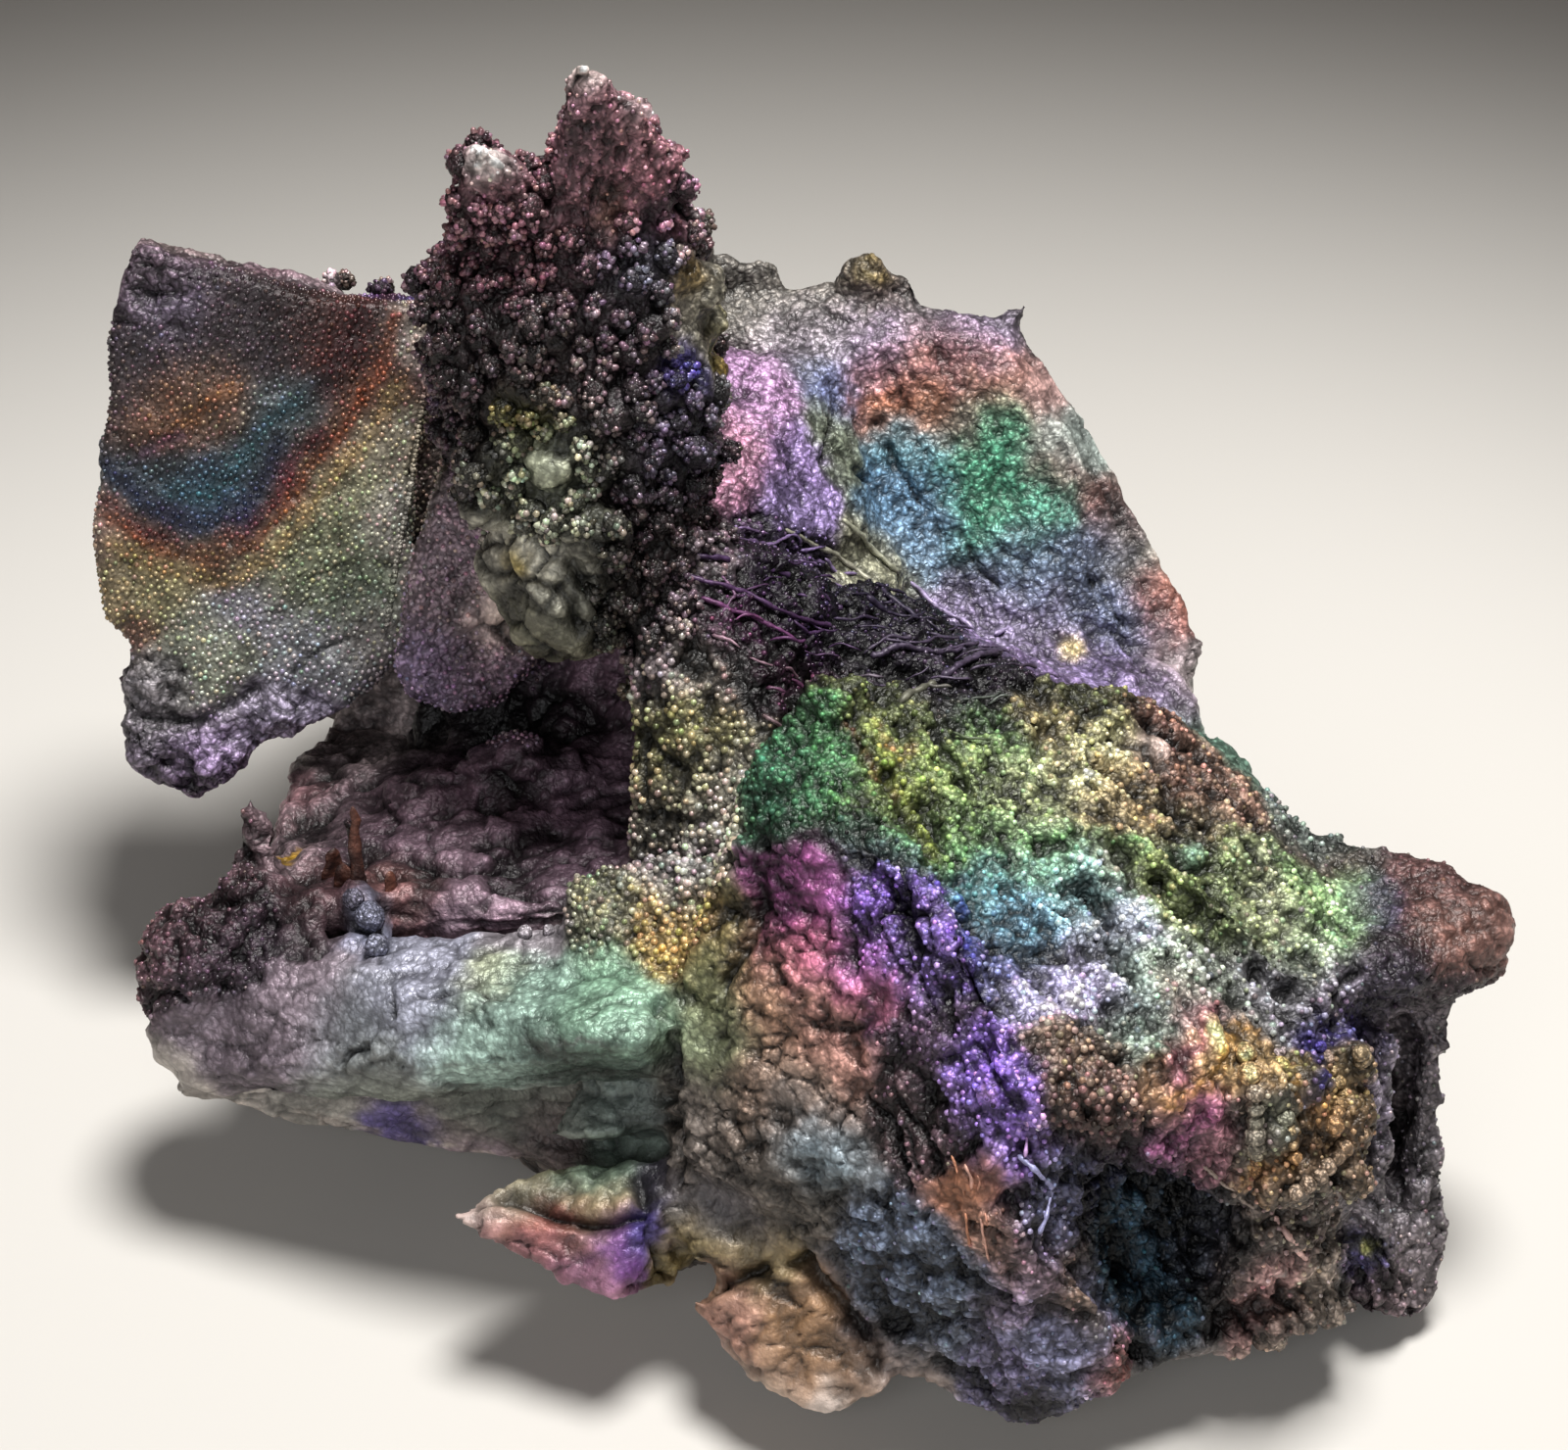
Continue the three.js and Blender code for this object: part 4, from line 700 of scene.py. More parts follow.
# Vectors of length one
def unit(vectors):
    return vectors / np.linalg.norm(vectors, axis=-1, keepdims=True)


# Smooth noise from -1 to 1 with swells of the given size in mm
def swell(points, size, salt, octaves=1):
    total, share = np.zeros(len(points)), 1.0
    for octave in range(octaves):
        p = points / (size / 2 ** octave)
        low = np.floor(p).astype(np.int64)
        t = p - low
        t = t * t * (3 - 2 * t)
        for dx in (0, 1):
            for dy in (0, 1):
                for dz in (0, 1):
                    part = (t[:, 0] if dx else 1 - t[:, 0]) * (t[:, 1] if dy else 1 - t[:, 1])
                    part = part * (t[:, 2] if dz else 1 - t[:, 2])
                    total += share * part * (hashed(low + np.array([dx, dy, dz]), salt + octave) * 2 - 1)
        share *= 0.5
    return total


# The same for the three directions, to move places about
def drift(points, size, salt):
    return np.stack([swell(points, size, salt + k) for k in range(3)], 1)


# Cells such as grains: distance to the nearest and the second nearest middle in cell sizes,
# and a number from 0 to 1 for the nearest cell
def grains(points, size, salt):
    p = points / size
    low = np.floor(p).astype(np.int64)
    first = np.full(len(p), 9.0)
    second = np.full(len(p), 9.0)
    number = np.zeros(len(p))
    for dx in (-1, 0, 1):
        for dy in (-1, 0, 1):
            for dz in (-1, 0, 1):
                cell = low + np.array([dx, dy, dz])
                middle = cell + np.stack([hashed(cell, salt + k) for k in (1, 2, 3)], 1)
                d = np.linalg.norm(p - middle, axis=1)
                nearer = d < first
                second = np.where(nearer, first, np.minimum(second, d))
                number = np.where(nearer, hashed(cell, salt + 7), number)
                first = np.where(nearer, d, first)
    return first, second, number


knobShape = {
    "radius": 0.82,  # in cell sizes
    "least": 0.65,  # height of the lowest knob, where the highest is 1
}


# Round knobs side by side, from 0 in the gaps to about 1 on the largest
def knobs(points, size, salt):
    first, _, number = grains(points, size, salt)
    height = knobShape["least"] + (1 - knobShape["least"]) * number
    return np.sqrt(np.clip(1 - (first / knobShape["radius"]) ** 2, 0, 1)) * height


# Colour of the crust
crustColour = {
    "sharpness": 0.45,  # how quickly one colour gives way to the next
    "plateSharpness": 0.3,  # how much quicker on the left plate
    "regionSharpness": 1.6,  # the same for the kind of crust
    "saturation": 0.92,  # share of the colours' strength, because light between knobs adds to it
    "bendSizes": (3.2, 1.0, 0.45),  # mm, the swells that make the borders uneven
    "bends": (1.0, 0.5, 0.3),  # mm, how far they move a border
    "plateBends": 0.35,  # share of the bends on the left plate, with its narrow rings
    "lift": 1.45,  # how much paler the crust is than it looks under the photo's light
    "bandStrength": 0.85,
    "bandReach": 3,  # half widths, beyond which a band gives nothing
    "atOnce": 20000,  # points worked on together, to save memory
}
brightness = np.array([[0.25], [0.65], [0.1]])  # what red, green and blue give to a grey
# How much brighter and how much more colourful each region is kept, for its own gaps and shadows
regionTone = {
    "column": (1.12, 1.1),
    "spires": (2.6, 0.9),
    "boulder": (1.35, 1.1),
    "narrowPlate": (2.05, 0.95),
    "plateEdge": (1.3, 1.0),
    "leftPlate": (1.05, 0.85),
    "furrow": (0.55, 1.1),
    "slope": (1.75, 0.85),
    "olive": (1.1, 0.8),
    "backPlate": (1.15, 0.95),
    "ledge": (0.95, 0.8),
    "cave": (1.0, 1.15),
    "pits": (0.7, 1.2),
    "shards": (0.7, 1.1),
    "frontTop": (1.52, 0.8),
    "leftFront": (1.48, 1.35),
    "violetRidge": (2.35, 0.68),
    "stripes": (1.5, 0.75),
    "beadPatch": (1.2, 0.9),
    "knobs": (1.35, 0.8),
    "recess": (2.3, 1.1),
    "horn": (1.0, 0.95),
    "apron": (1.78, 1.15),
    "rear": (1.3, 1.25),
}
regionNames = list(colourPatches) + ["rear"]
patches = []
for region, rows in colourPatches.items():
    patches += [(region, placeAt(row[0], row[1]), *row[2:]) for row in rows.values()]
patches += [("rear", np.array(row[:3]), *row[3:]) for row in rearPatches.values()]
patchPlaces = np.array([patch[1] for patch in patches])
patchReach = np.array([patch[2] for patch in patches])
patchColours = np.array([toLinear(patch[3]) for patch in patches]) * crustColour["lift"]
patchGreys = patchColours @ brightness
patchTones = np.array([regionTone[patch[0]] for patch in patches])
patchStrength = crustColour["saturation"] * patchTones[:, 1:]
patchColours = (patchGreys + (patchColours - patchGreys) * patchStrength) * patchTones[:, :1]
patchBare = np.array([patch[4] if len(patch) > 4 else 0.0 for patch in patches])
patchShares = np.eye(len(regionNames))[[regionNames.index(patch[0]) for patch in patches]]
bands = [(traced(course), halfWidth, np.array(toLinear(colour)) * crustColour["lift"])
         for course, halfWidth, colour in colourBands.values()]


# Distance of each point to a course of points
def distanceTo(points, course):
    best = np.full(len(points), 1e9)
    for a, b in zip(course, course[1:]):
        along = b - a
        t = np.clip(((points - a) @ along) / (along @ along), 0, 1)
        best = np.minimum(best, np.linalg.norm(points - a - t[:, None] * along, axis=1))
    return best


# The points within reach of a course
def nearCourse(points, course, reach):
    near = (points > np.min(course, 0) - reach) & (points < np.max(course, 0) + reach)
    return np.where(near.all(1))[0]


# How far each patch is from each point in its own reach, squared, beyond the nearest one
def scoresAt(points):
    score = (points ** 2).sum(1)[:, None] + (patchPlaces ** 2).sum(1) - 2 * points @ patchPlaces.T
    score /= patchReach ** 2
    return score - score.min(1)[:, None]


# What patches give at each point, from the point's scores
def mixed(score, sharpness, values):
    weight = np.exp(-sharpness * score)
    return weight @ values / weight.sum(1)[:, None]


# Colour, bareness and the share of each region at each point
def lookAt(points):
    colour = np.zeros((len(points), 3))
    bare = np.zeros(len(points))
    shares = np.zeros((len(points), len(regionNames)))
    bent = points.copy()
    for k, (size, bend) in enumerate(zip(crustColour["bendSizes"], crustColour["bends"])):
        for axis in range(3):
            bent[:, axis] += bend * swell(points, size, 31 * k + 7 * axis + 5)
    for start in range(0, len(points), crustColour["atOnce"]):
        part = slice(start, start + crustColour["atOnce"])
        shares[part] = mixed(scoresAt(bent[part]), crustColour["regionSharpness"], patchShares)
        onPlate = shares[part][:, regionNames.index("leftPlate")][:, None]
        bent[part] -= (bent[part] - points[part]) * onPlate * (1 - crustColour["plateBends"])
        score = scoresAt(bent[part])
        sharpness = crustColour["sharpness"] + crustColour["plateSharpness"] * onPlate
        colour[part] = mixed(score, sharpness, patchColours)
        bare[part] = mixed(score, sharpness, patchBare[:, None])[:, 0]
    for course, halfWidth, bandColour in bands:
        near = nearCourse(bent, course, crustColour["bandReach"] * halfWidth)
        here = np.exp(-(distanceTo(bent[near], course) / halfWidth) ** 2)[:, None]
        colour[near] += (bandColour - colour[near]) * here * crustColour["bandStrength"]
    return colour, bare, dict(zip(regionNames, shares.T))


# One or more numbers for each vertex, edge, face or triangle
def readAll(items, key, width, kind=np.float32):
    values = np.empty(len(items) * width, kind)
    items.foreach_get(key, values)
    return values.reshape(-1, width)


# Points in mm and normals
def toArrays(mesh):
    points = readAll(mesh.vertices, "co", 3).astype(float) / mm
    return points, readAll(mesh.vertex_normals, "vector", 3).astype(float)


def trianglesOf(mesh):
    mesh.calc_loop_triangles()
    return readAll(mesh.loop_triangles, "vertices", 3, np.int32)


def setPoints(mesh, points):
    mesh.vertices.foreach_set("co", (points * mm).astype(np.float32).ravel())
    mesh.update()


# A piece of the object from points in mm and faces, with its colour and bareness at each point
def addPiece(name, points, faces, material, colour, bare, grain=None, normals=None):
    mesh = bpy.data.meshes.new(name)
    mesh.from_pydata((points * mm).tolist(), [], [list(face) for face in faces])
    mesh.polygons.foreach_set("use_smooth", [True] * len(mesh.polygons))
    if normals is not None:
        mesh.normals_split_custom_set_from_vertices(normals.tolist())
    tint = mesh.attributes.new("tint", "FLOAT_COLOR", "POINT")
    rgba = np.column_stack([np.clip(colour, 0, 1), np.ones(len(colour))])
    tint.data.foreach_set("color", rgba.astype(np.float32).ravel())
    grain = np.ones(len(bare)) if grain is None else grain
    for key, values in (("bare", bare), ("grain", grain)):
        attribute = mesh.attributes.new(key, "FLOAT", "POINT")
        attribute.data.foreach_set("value", values.astype(np.float32))
    mesh.materials.append(material)
    piece = bpy.data.objects.new(name, mesh)
    bpy.context.scene.collection.objects.link(piece)
    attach(piece, "root")
    print("stage:", name, len(mesh.polygons), "faces")
    return piece


# A shader node with its values and what is linked to its sockets
def addNode(tree, kind, settings=None, links=None):
    node = tree.nodes.new("ShaderNode" + kind)
    for name, value in (settings or {}).items():
        if isinstance(name, int) or name in node.inputs:
            node.inputs[name].default_value = value
        else:
            setattr(node, name, value)
    for socket, source in (links or {}).items():
        tree.links.new(source, node.inputs[socket])
    return node


def freshMaterial(name):
    material = bpy.data.materials.new(name)
    material.use_nodes = True
    material.node_tree.nodes.clear()
    return material


# What all looks of the crust share. Sizes are in grains if no unit is given.
druse = {
    "bendSize": 1.4,  # the grains' places are bent, so that they don't lie in a net
    "bend": 1.5,
    "fineSize": 1.8,
    "cloudSize": 2.2,  # mm
    "grainEdge": (0.25, 0.62),  # where the painted shade of a grain begins and where its gap is darkest
    # painted light: how much brighter a grain's middle is
    "grainLightTone": 1.15,
    "fineRange": (0.35, 0.65),  # the part of the noise that is spread over the tones
    "speckTones": (0.6, 1.4),
    "cloudRange": (0.3, 0.7),
    "cloudTones": (0.78, 1.22),
    "roughnessRange": 0.1,
    "fineRelief": 2.0,  # times the relief of the grains
    "fineStrength": 0.6,
    "grainStrength": 0.9,
    "refraction": 1.5,
    "specular": 0.5,
}


# Drusy hematite: a thin metallic crust of tiny crystals. It is bright where a grain faces the light, and each
# grain is painted brighter in its middle and nearly black towards its gap, as painted light and shade; its
# film gives it oil-like colours.
def hematiteCrust(name, look):
    material = freshMaterial(name)
    tree = material.node_tree

    def attribute(key, output):
        return addNode(tree, "Attribute", {"attribute_name": key}).outputs[output]

    def noise(size, detail, roughness=0.5):
        settings = {"Scale": 1 / (size * mm), "Detail": detail, "Roughness": roughness}
        return addNode(tree, "TexNoise", settings, {"Vector": place})

    def spread(source, low, high, least, most):
        limits = {"From Min": low, "From Max": high, "To Min": least, "To Max": most}
        return addNode(tree, "MapRange", limits, {"Value": source}).outputs["Result"]

    def product(a, b):
        return addNode(tree, "Math", {"operation": "MULTIPLY"}, {0: a, 1: b}).outputs[0]

    place = addNode(tree, "TexCoord").outputs["Object"]
    tint = attribute("tint", "Color")
    bare = attribute("bare", "Fac")
    grainy = attribute("grain", "Fac")
    bend = noise(look["grain"] * druse["bendSize"], 1.0).outputs["Color"]
    bend = addNode(tree, "VectorMath", {"operation": "SCALE", "Scale": look["grain"] * druse["bend"] * mm},
                   {"Vector": bend}).outputs[0]
    bent = addNode(tree, "VectorMath", {"operation": "ADD"}, {0: place, 1: bend}).outputs[0]
    cells = addNode(tree, "TexVoronoi", {"Scale": 1 / (look["grain"] * mm)}, {"Vector": bent})
    cells = cells.outputs["Distance"]
    fine = noise(look["grain"] * druse["fineSize"], 4.0, 0.6).outputs["Fac"]
    cloud = noise(druse["cloudSize"], 5.0, 0.65).outputs["Fac"]
    # Painted shade: darker towards the edge of each grain, and each grain a little different
    gap = spread(cells, *druse["grainEdge"], druse["grainLightTone"], look["gapShadeTone"])
    speck = spread(fine, *druse["fineRange"], *druse["speckTones"])
    shade = addNode(tree, "Mix", {"data_type": "FLOAT", "A": 1.0},
                    {"Factor": grainy, "B": product(gap, speck)})
    shade = product(shade.outputs[0], spread(cloud, *druse["cloudRange"], *druse["cloudTones"]))
    colour = addNode(tree, "VectorMath", {"operation": "SCALE"}, {"Vector": tint, "Scale": shade})
    metal = spread(bare, 0.0, 1.0, look["metallic"], 0.0)
    rough = spread(fine, *druse["cloudRange"], look["roughness"] - druse["roughnessRange"],
                   look["roughness"] + druse["roughnessRange"])
    low = addNode(tree, "Bump", {"Strength": druse["fineStrength"],
                                 "Distance": look["relief"] * druse["fineRelief"] * mm}, {"Height": fine})
    bump = addNode(tree, "Bump", {"Strength": druse["grainStrength"], "invert": True,
                                  "Distance": look["relief"] * mm},
                   {"Height": product(cells, grainy), "Normal": low.outputs["Normal"]})
    shader = addNode(tree, "BsdfPrincipled",
                     {"IOR": druse["refraction"], "Specular IOR Level": druse["specular"]},
                     {"Base Color": colour.outputs[0], "Metallic": metal,
                      "Roughness": rough, "Normal": bump.outputs["Normal"]})
    addNode(tree, "OutputMaterial", None, {"Surface": shader.outputs["BSDF"]})
    return material


# Rough crust, dull and sparkling, with painted shade in the gaps between its grains
crustMaterial = hematiteCrust("drusyHematiteCrust", {
    "grain": 0.42,  # mm
    "gapShadeTone": 0.38,  # how bright the painted shade in the gaps between grains is
    "metallic": 0.28,
    "roughness": 0.45,
    "relief": 0.16,  # mm
})
# Small knobs: the same crust with finer grains
knobMaterial = hematiteCrust("knobbyHematiteCrust", {
    "grain": 0.26,
    "gapShadeTone": 0.35,
    "metallic": 0.28,
    "roughness": 0.42,
    "relief": 0.14,
})
# Beads with a soft shine and nearly smooth skin
beadMaterial = hematiteCrust("satinHematiteBeads", {
    "grain": 0.3,
    "gapShadeTone": 0.85,
    "metallic": 0.25,
    "roughness": 0.48,
    "relief": 0.02,
})
# Beads with small, sharper highlights
glossyBeadMaterial = hematiteCrust("glossyHematiteBeads", {
    "grain": 0.3,
    "gapShadeTone": 0.9,
    "metallic": 0.25,
    "roughness": 0.3,
    "relief": 0.01,
})

# The body: the solid, remeshed fine enough to carry knobs and cracks
crustBody = {
    "voxel": 0.54,  # mm, halved on the photo's side
    "smoothRounds": 2,
    "smoothStep": 0.5,  # how far a point moves to the mean of its neighbours
    "floorFade": 2.0,  # mm above the floor, under which the relief dies away
}
# Size in mm, rise in mm and darkness of the painted shade in the gaps of the knobs in each region, coarse
# then fine
knobRelief = {
    "column": [(2.0, 0.6, 0.5), (0.8, 0.3, 0.5)],
    "spires": [(1.25, 0.3, 0.3), (0.8, 0.3, 0.4)],
    "violetRidge": [(1.25, 0.6, 0.55), (0.8, 0.25, 0.4)],
    "knobs": [(1.25, 0.6, 0.6), (0.8, 0.25, 0.4)],
    "beadPatch": [(1.25, 0.3, 0.4), (0.8, 0.35, 0.5)],
    "olive": [(1.25, 0.5, 0.5), (0.8, 0.3, 0.45)],
    "slope": [(2.0, 0.45, 0.45), (1.25, 0.45, 0.6), (0.8, 0.3, 0.5)],
    "frontTop": [(2.0, 0.3, 0.25), (1.25, 0.4, 0.55), (0.8, 0.32, 0.6)],
    "leftFront": [(2.0, 0.3, 0.2), (0.8, 0.12, 0.2)],
    "recess": [(2.0, 0.6, 0.5), (1.25, 0.6, 0.6), (0.8, 0.3, 0.4)],
    "apron": [(2.0, 0.35, 0.2), (1.25, 0.25, 0.4), (0.8, 0.2, 0.4)],
    "furrow": [(1.25, 0.55, 0.75), (0.8, 0.3, 0.6)],
    "horn": [(1.25, 0.2, 0.3), (0.8, 0.2, 0.3)],
    "pits": [(2.0, 0.6, 0.5), (1.25, 0.6, 0.7), (0.8, 0.35, 0.5)],
    "backPlate": [(1.25, 0.12, 0.15), (0.8, 0.12, 0.25)],
    "leftPlate": [(2.0, 0.12, 0.1), (0.8, 0.06, 0.15)],
    "plateEdge": [(2.0, 0.35, 0.25), (0.8, 0.12, 0.2)],
    "narrowPlate": [(0.8, 0.08, 0.15)],
    "cave": [(2.0, 0.4, 0.3), (0.8, 0.12, 0.2)],
    "boulder": [(0.8, 0.1, 0.2)],
    "ledge": [(0.8, 0.06, 0.08)],
    "shards": [(2.0, 0.2, 0.1)],
    "rear": [(2.0, 0.4, 0.3), (1.25, 0.35, 0.4), (0.8, 0.2, 0.3)],
}
# How much rougher than the rest a region is
swellRise = {
    "frontTop": 1.2,
    "leftFront": 1.5,
    "violetRidge": 1.6,
    "furrow": 1.6,
    "cave": 1.3,
    "leftPlate": 0.6,
    "ledge": 0.8,
}
# Directions in which blocks and folds run
alongTop = (0.731, -0.558, -0.393)
alongRidge = (0.3, -0.75, -0.6)
alongRecess = (0.3, -0.7, -0.6)
alongPlate = (0.457, -0.548, -0.7)
alongFront = (0.8, -0.6, 0.0)
alongHorn = (0.8, -0.5, 0.0)
alongShards = (0.8, -0.5, 0.3)
alongEdge = (0.8, -0.3, -0.5)
sideways = (1.0, 0.0, 0.0)
upwards = (0.1, 0.0, 1.0)
# Cracks between blocks: region, direction along the blocks, how much longer they are that way,
# block size in mm, seam width in block sizes, depth in mm, darkness of the painted shade in a seam
seamRelief = [
    ("leftFront", alongFront, 2.0, 1.0, 0.2, 0.3, 0.75),
    ("frontTop", alongTop, 3.0, 1.1, 0.2, 0.35, 0.75),
    ("backPlate", alongPlate, 3.5, 1.3, 0.16, 0.22, 0.4),
    ("furrow", alongTop, 4.0, 1.1, 0.22, 0.35, 0.6),
    ("stripes", (0.327, -0.9, -0.286), 8.0, 0.8, 0.4, 0.4, 0.8),
    ("violetRidge", alongRidge, 3.0, 1.3, 0.2, 0.45, 0.6),
    ("apron", sideways, 2.5, 0.9, 0.25, 0.3, 0.6),
    ("recess", alongRecess, 4.0, 1.2, 0.25, 0.5, 0.7),
    ("horn", alongHorn, 2.0, 1.6, 0.12, 0.2, 0.4),
    ("boulder", (0.5, 0.5, 0.5), 1.3, 2.0, 0.17, 0.5, 1.0),
    ("rear", (0.3, 0.2, 1.0), 1.6, 3.4, 0.1, 0.6, 0.6),
    ("rear", (1.0, 0.2, -0.3), 2.0, 1.5, 0.16, 0.25, 0.4),
    ("plateEdge", alongEdge, 1.5, 1.4, 0.14, 0.3, 0.6),
    ("spires", upwards, 2.2, 1.0, 0.16, 0.3, 0.5),
    ("cave", sideways, 1.8, 2.0, 0.13, 0.35, 0.5),
    ("shards", alongShards, 2.5, 1.1, 0.18, 0.25, 0.3),
    ("ledge", sideways, 2.0, 1.9, 0.12, 0.16, 0.6),
    ("leftPlate", (0.7, -0.3, -0.6), 1.5, 2.8, 0.05, 0.12, 0.3),
]
# Folds and furrows: direction along them, how much longer they are that way, distance between
# them in mm, depth in mm, darkness of the painted shade in them
foldRelief = {
    "frontTop": (alongTop, 3.0, 2.8, 0.5, 0.5),
    "violetRidge": (alongRidge, 3.0, 1.8, 0.8, 0.9),
    "beadPatch": (alongRidge, 2.5, 1.8, 0.5, 0.5),
    "knobs": (alongRidge, 2.5, 2.2, 0.8, 0.7),
    "recess": (alongRecess, 4.0, 1.6, 0.9, 0.8),
    "leftFront": (alongFront, 3.0, 3.2, 0.45, 0.5),
    "apron": ((1.0, 0.0, -0.2), 2.5, 1.8, 0.8, 0.85),
    "backPlate": (alongPlate, 3.5, 2.6, 0.3, 0.35),
    "furrow": (alongTop, 4.0, 1.6, 0.7, 0.8),
    "slope": ((0.1, -0.6, -0.8), 3.0, 1.8, 0.5, 0.7),
    "cave": (sideways, 2.0, 3.5, 0.6, 0.5),
    "pits": ((0.3, 0.0, 1.0), 1.3, 2.2, 0.8, 0.7),
    "ledge": (sideways, 2.5, 2.6, 0.12, 0.25),
    "shards": (alongShards, 2.5, 1.8, 0.3, 0.35),
    "plateEdge": (alongEdge, 2.0, 2.0, 0.35, 0.5),
    "spires": (upwards, 2.0, 1.6, 0.35, 0.4),
    "horn": (alongHorn, 1.5, 2.2, 0.3, 0.4),
    "rear": ((0.2, 0.3, 1.0), 1.8, 4.0, 0.5, 0.5),
}


# The solid as a closed mesh of even squares
def remeshed(source, voxel):
    copy = bpy.data.objects.new("remeshCopy", source.data.copy())
    bpy.context.scene.collection.objects.link(copy)
    modifier = copy.modifiers.new("remesh", "REMESH")
    modifier.mode = "VOXEL"
    modifier.voxel_size = voxel * mm
    mesh = bpy.data.meshes.new_from_object(copy.evaluated_get(bpy.context.evaluated_depsgraph_get()))
    bpy.data.objects.remove(copy)
    return mesh


# Moves each point towards the mean of its neighbours
def smooth(mesh, rounds):
    points, _ = toArrays(mesh)
    a, b = readAll(mesh.edges, "vertices", 2, np.int32).T
    count = np.bincount(a, minlength=len(points)) + np.bincount(b, minlength=len(points))
    for _ in range(rounds):
        for axis in range(3):
            total = np.bincount(a, points[b, axis], len(points))
            total = total + np.bincount(b, points[a, axis], len(points))
            points[:, axis] += crustBody["smoothStep"] * (total / count - points[:, axis])
    setPoints(mesh, points)


crackLines = [(traced(course), halfWidth, depth) for course, halfWidth, depth in cracks.values()]
# How much darker each mm of depth is painted, as shade
depthShade = {
    "narrowPlate": 2.6,
    "spires": 1.8,
    "boulder": 2.4,
    "furrow": 1.9,
    "slope": 1.8,
    "olive": 1.6,
    "cave": 1.9,
    "leftFront": 1.6,
    "violetRidge": 1.8,
    "frontTop": 1.5,
    "recess": 1.8,
    "apron": 1.9,
    "shards": 1.6,
    "rear": 1.4,
}
# How grainy the crust is, from 0 to 1. What isn't named is fully grainy
smoothRegions = {
    "ledge": 0.6,
    "shards": 0.4,
    "boulder": 0.7,
    "cave": 0.6,
    "leftFront": 0.7,
    "leftPlate": 0.6,
}
# Sizes and rises in mm, tones as shares
relief = {
    "broadSize": 4.5,
    "broadRise": 0.32,
    "lowSize": 1.4,
    "lowRise": 0.16,
    "spotSize": 1.1,
    "spotTone": 0.25,
    "knobSizes": (2.0, 1.25, 0.8),
    "knobMiddle": 0.6,  # height of a knob where the skin neither rises nor sinks
    "knobFoot": 0.75,  # height of a knob below which it is painted darker, as shade
    "leastShare": 0.02,  # a region with less of a place leaves it as it is
    "seamBend": 0.25,
    "seamBendSize": 1.6,
    "seamKept": 0.75,  # how much of the seams is left, because they come and go
    "seamKeptSize": 2.4,
    "blockTone": 0.3,
    "foldBend": 0.5,
    "foldBendSize": 2.2,
    "foldWidth": 0.16,  # share of the distance between folds
    "foldKept": 0.6,
    "foldKeptSize": 3.5,
    "depthTone": 1.1,  # how much darker each mm of depth is painted, as shade, where depthShade has no other value
    "depthTones": (0.2, 1.7),
    "crackBend": 0.35,
    "crackBendSize": 1.4,
    "crackReach": 3,
    "crackDepth": 1.2,
    # painted shade in the middle of a crack
    "crackTone": 0.9,
    "darkest": 0.03,
    "brightest": 1.7,
    "bareGrain": 0.6,  # how much less grainy bare quartz is
}


# Places pressed together along a direction, so that what is drawn on them gets longer that way
def pressed(place, along, longer):
    along = unit(np.array(along))
    return place - (1 - 1 / longer) * (place @ along)[:, None] * along


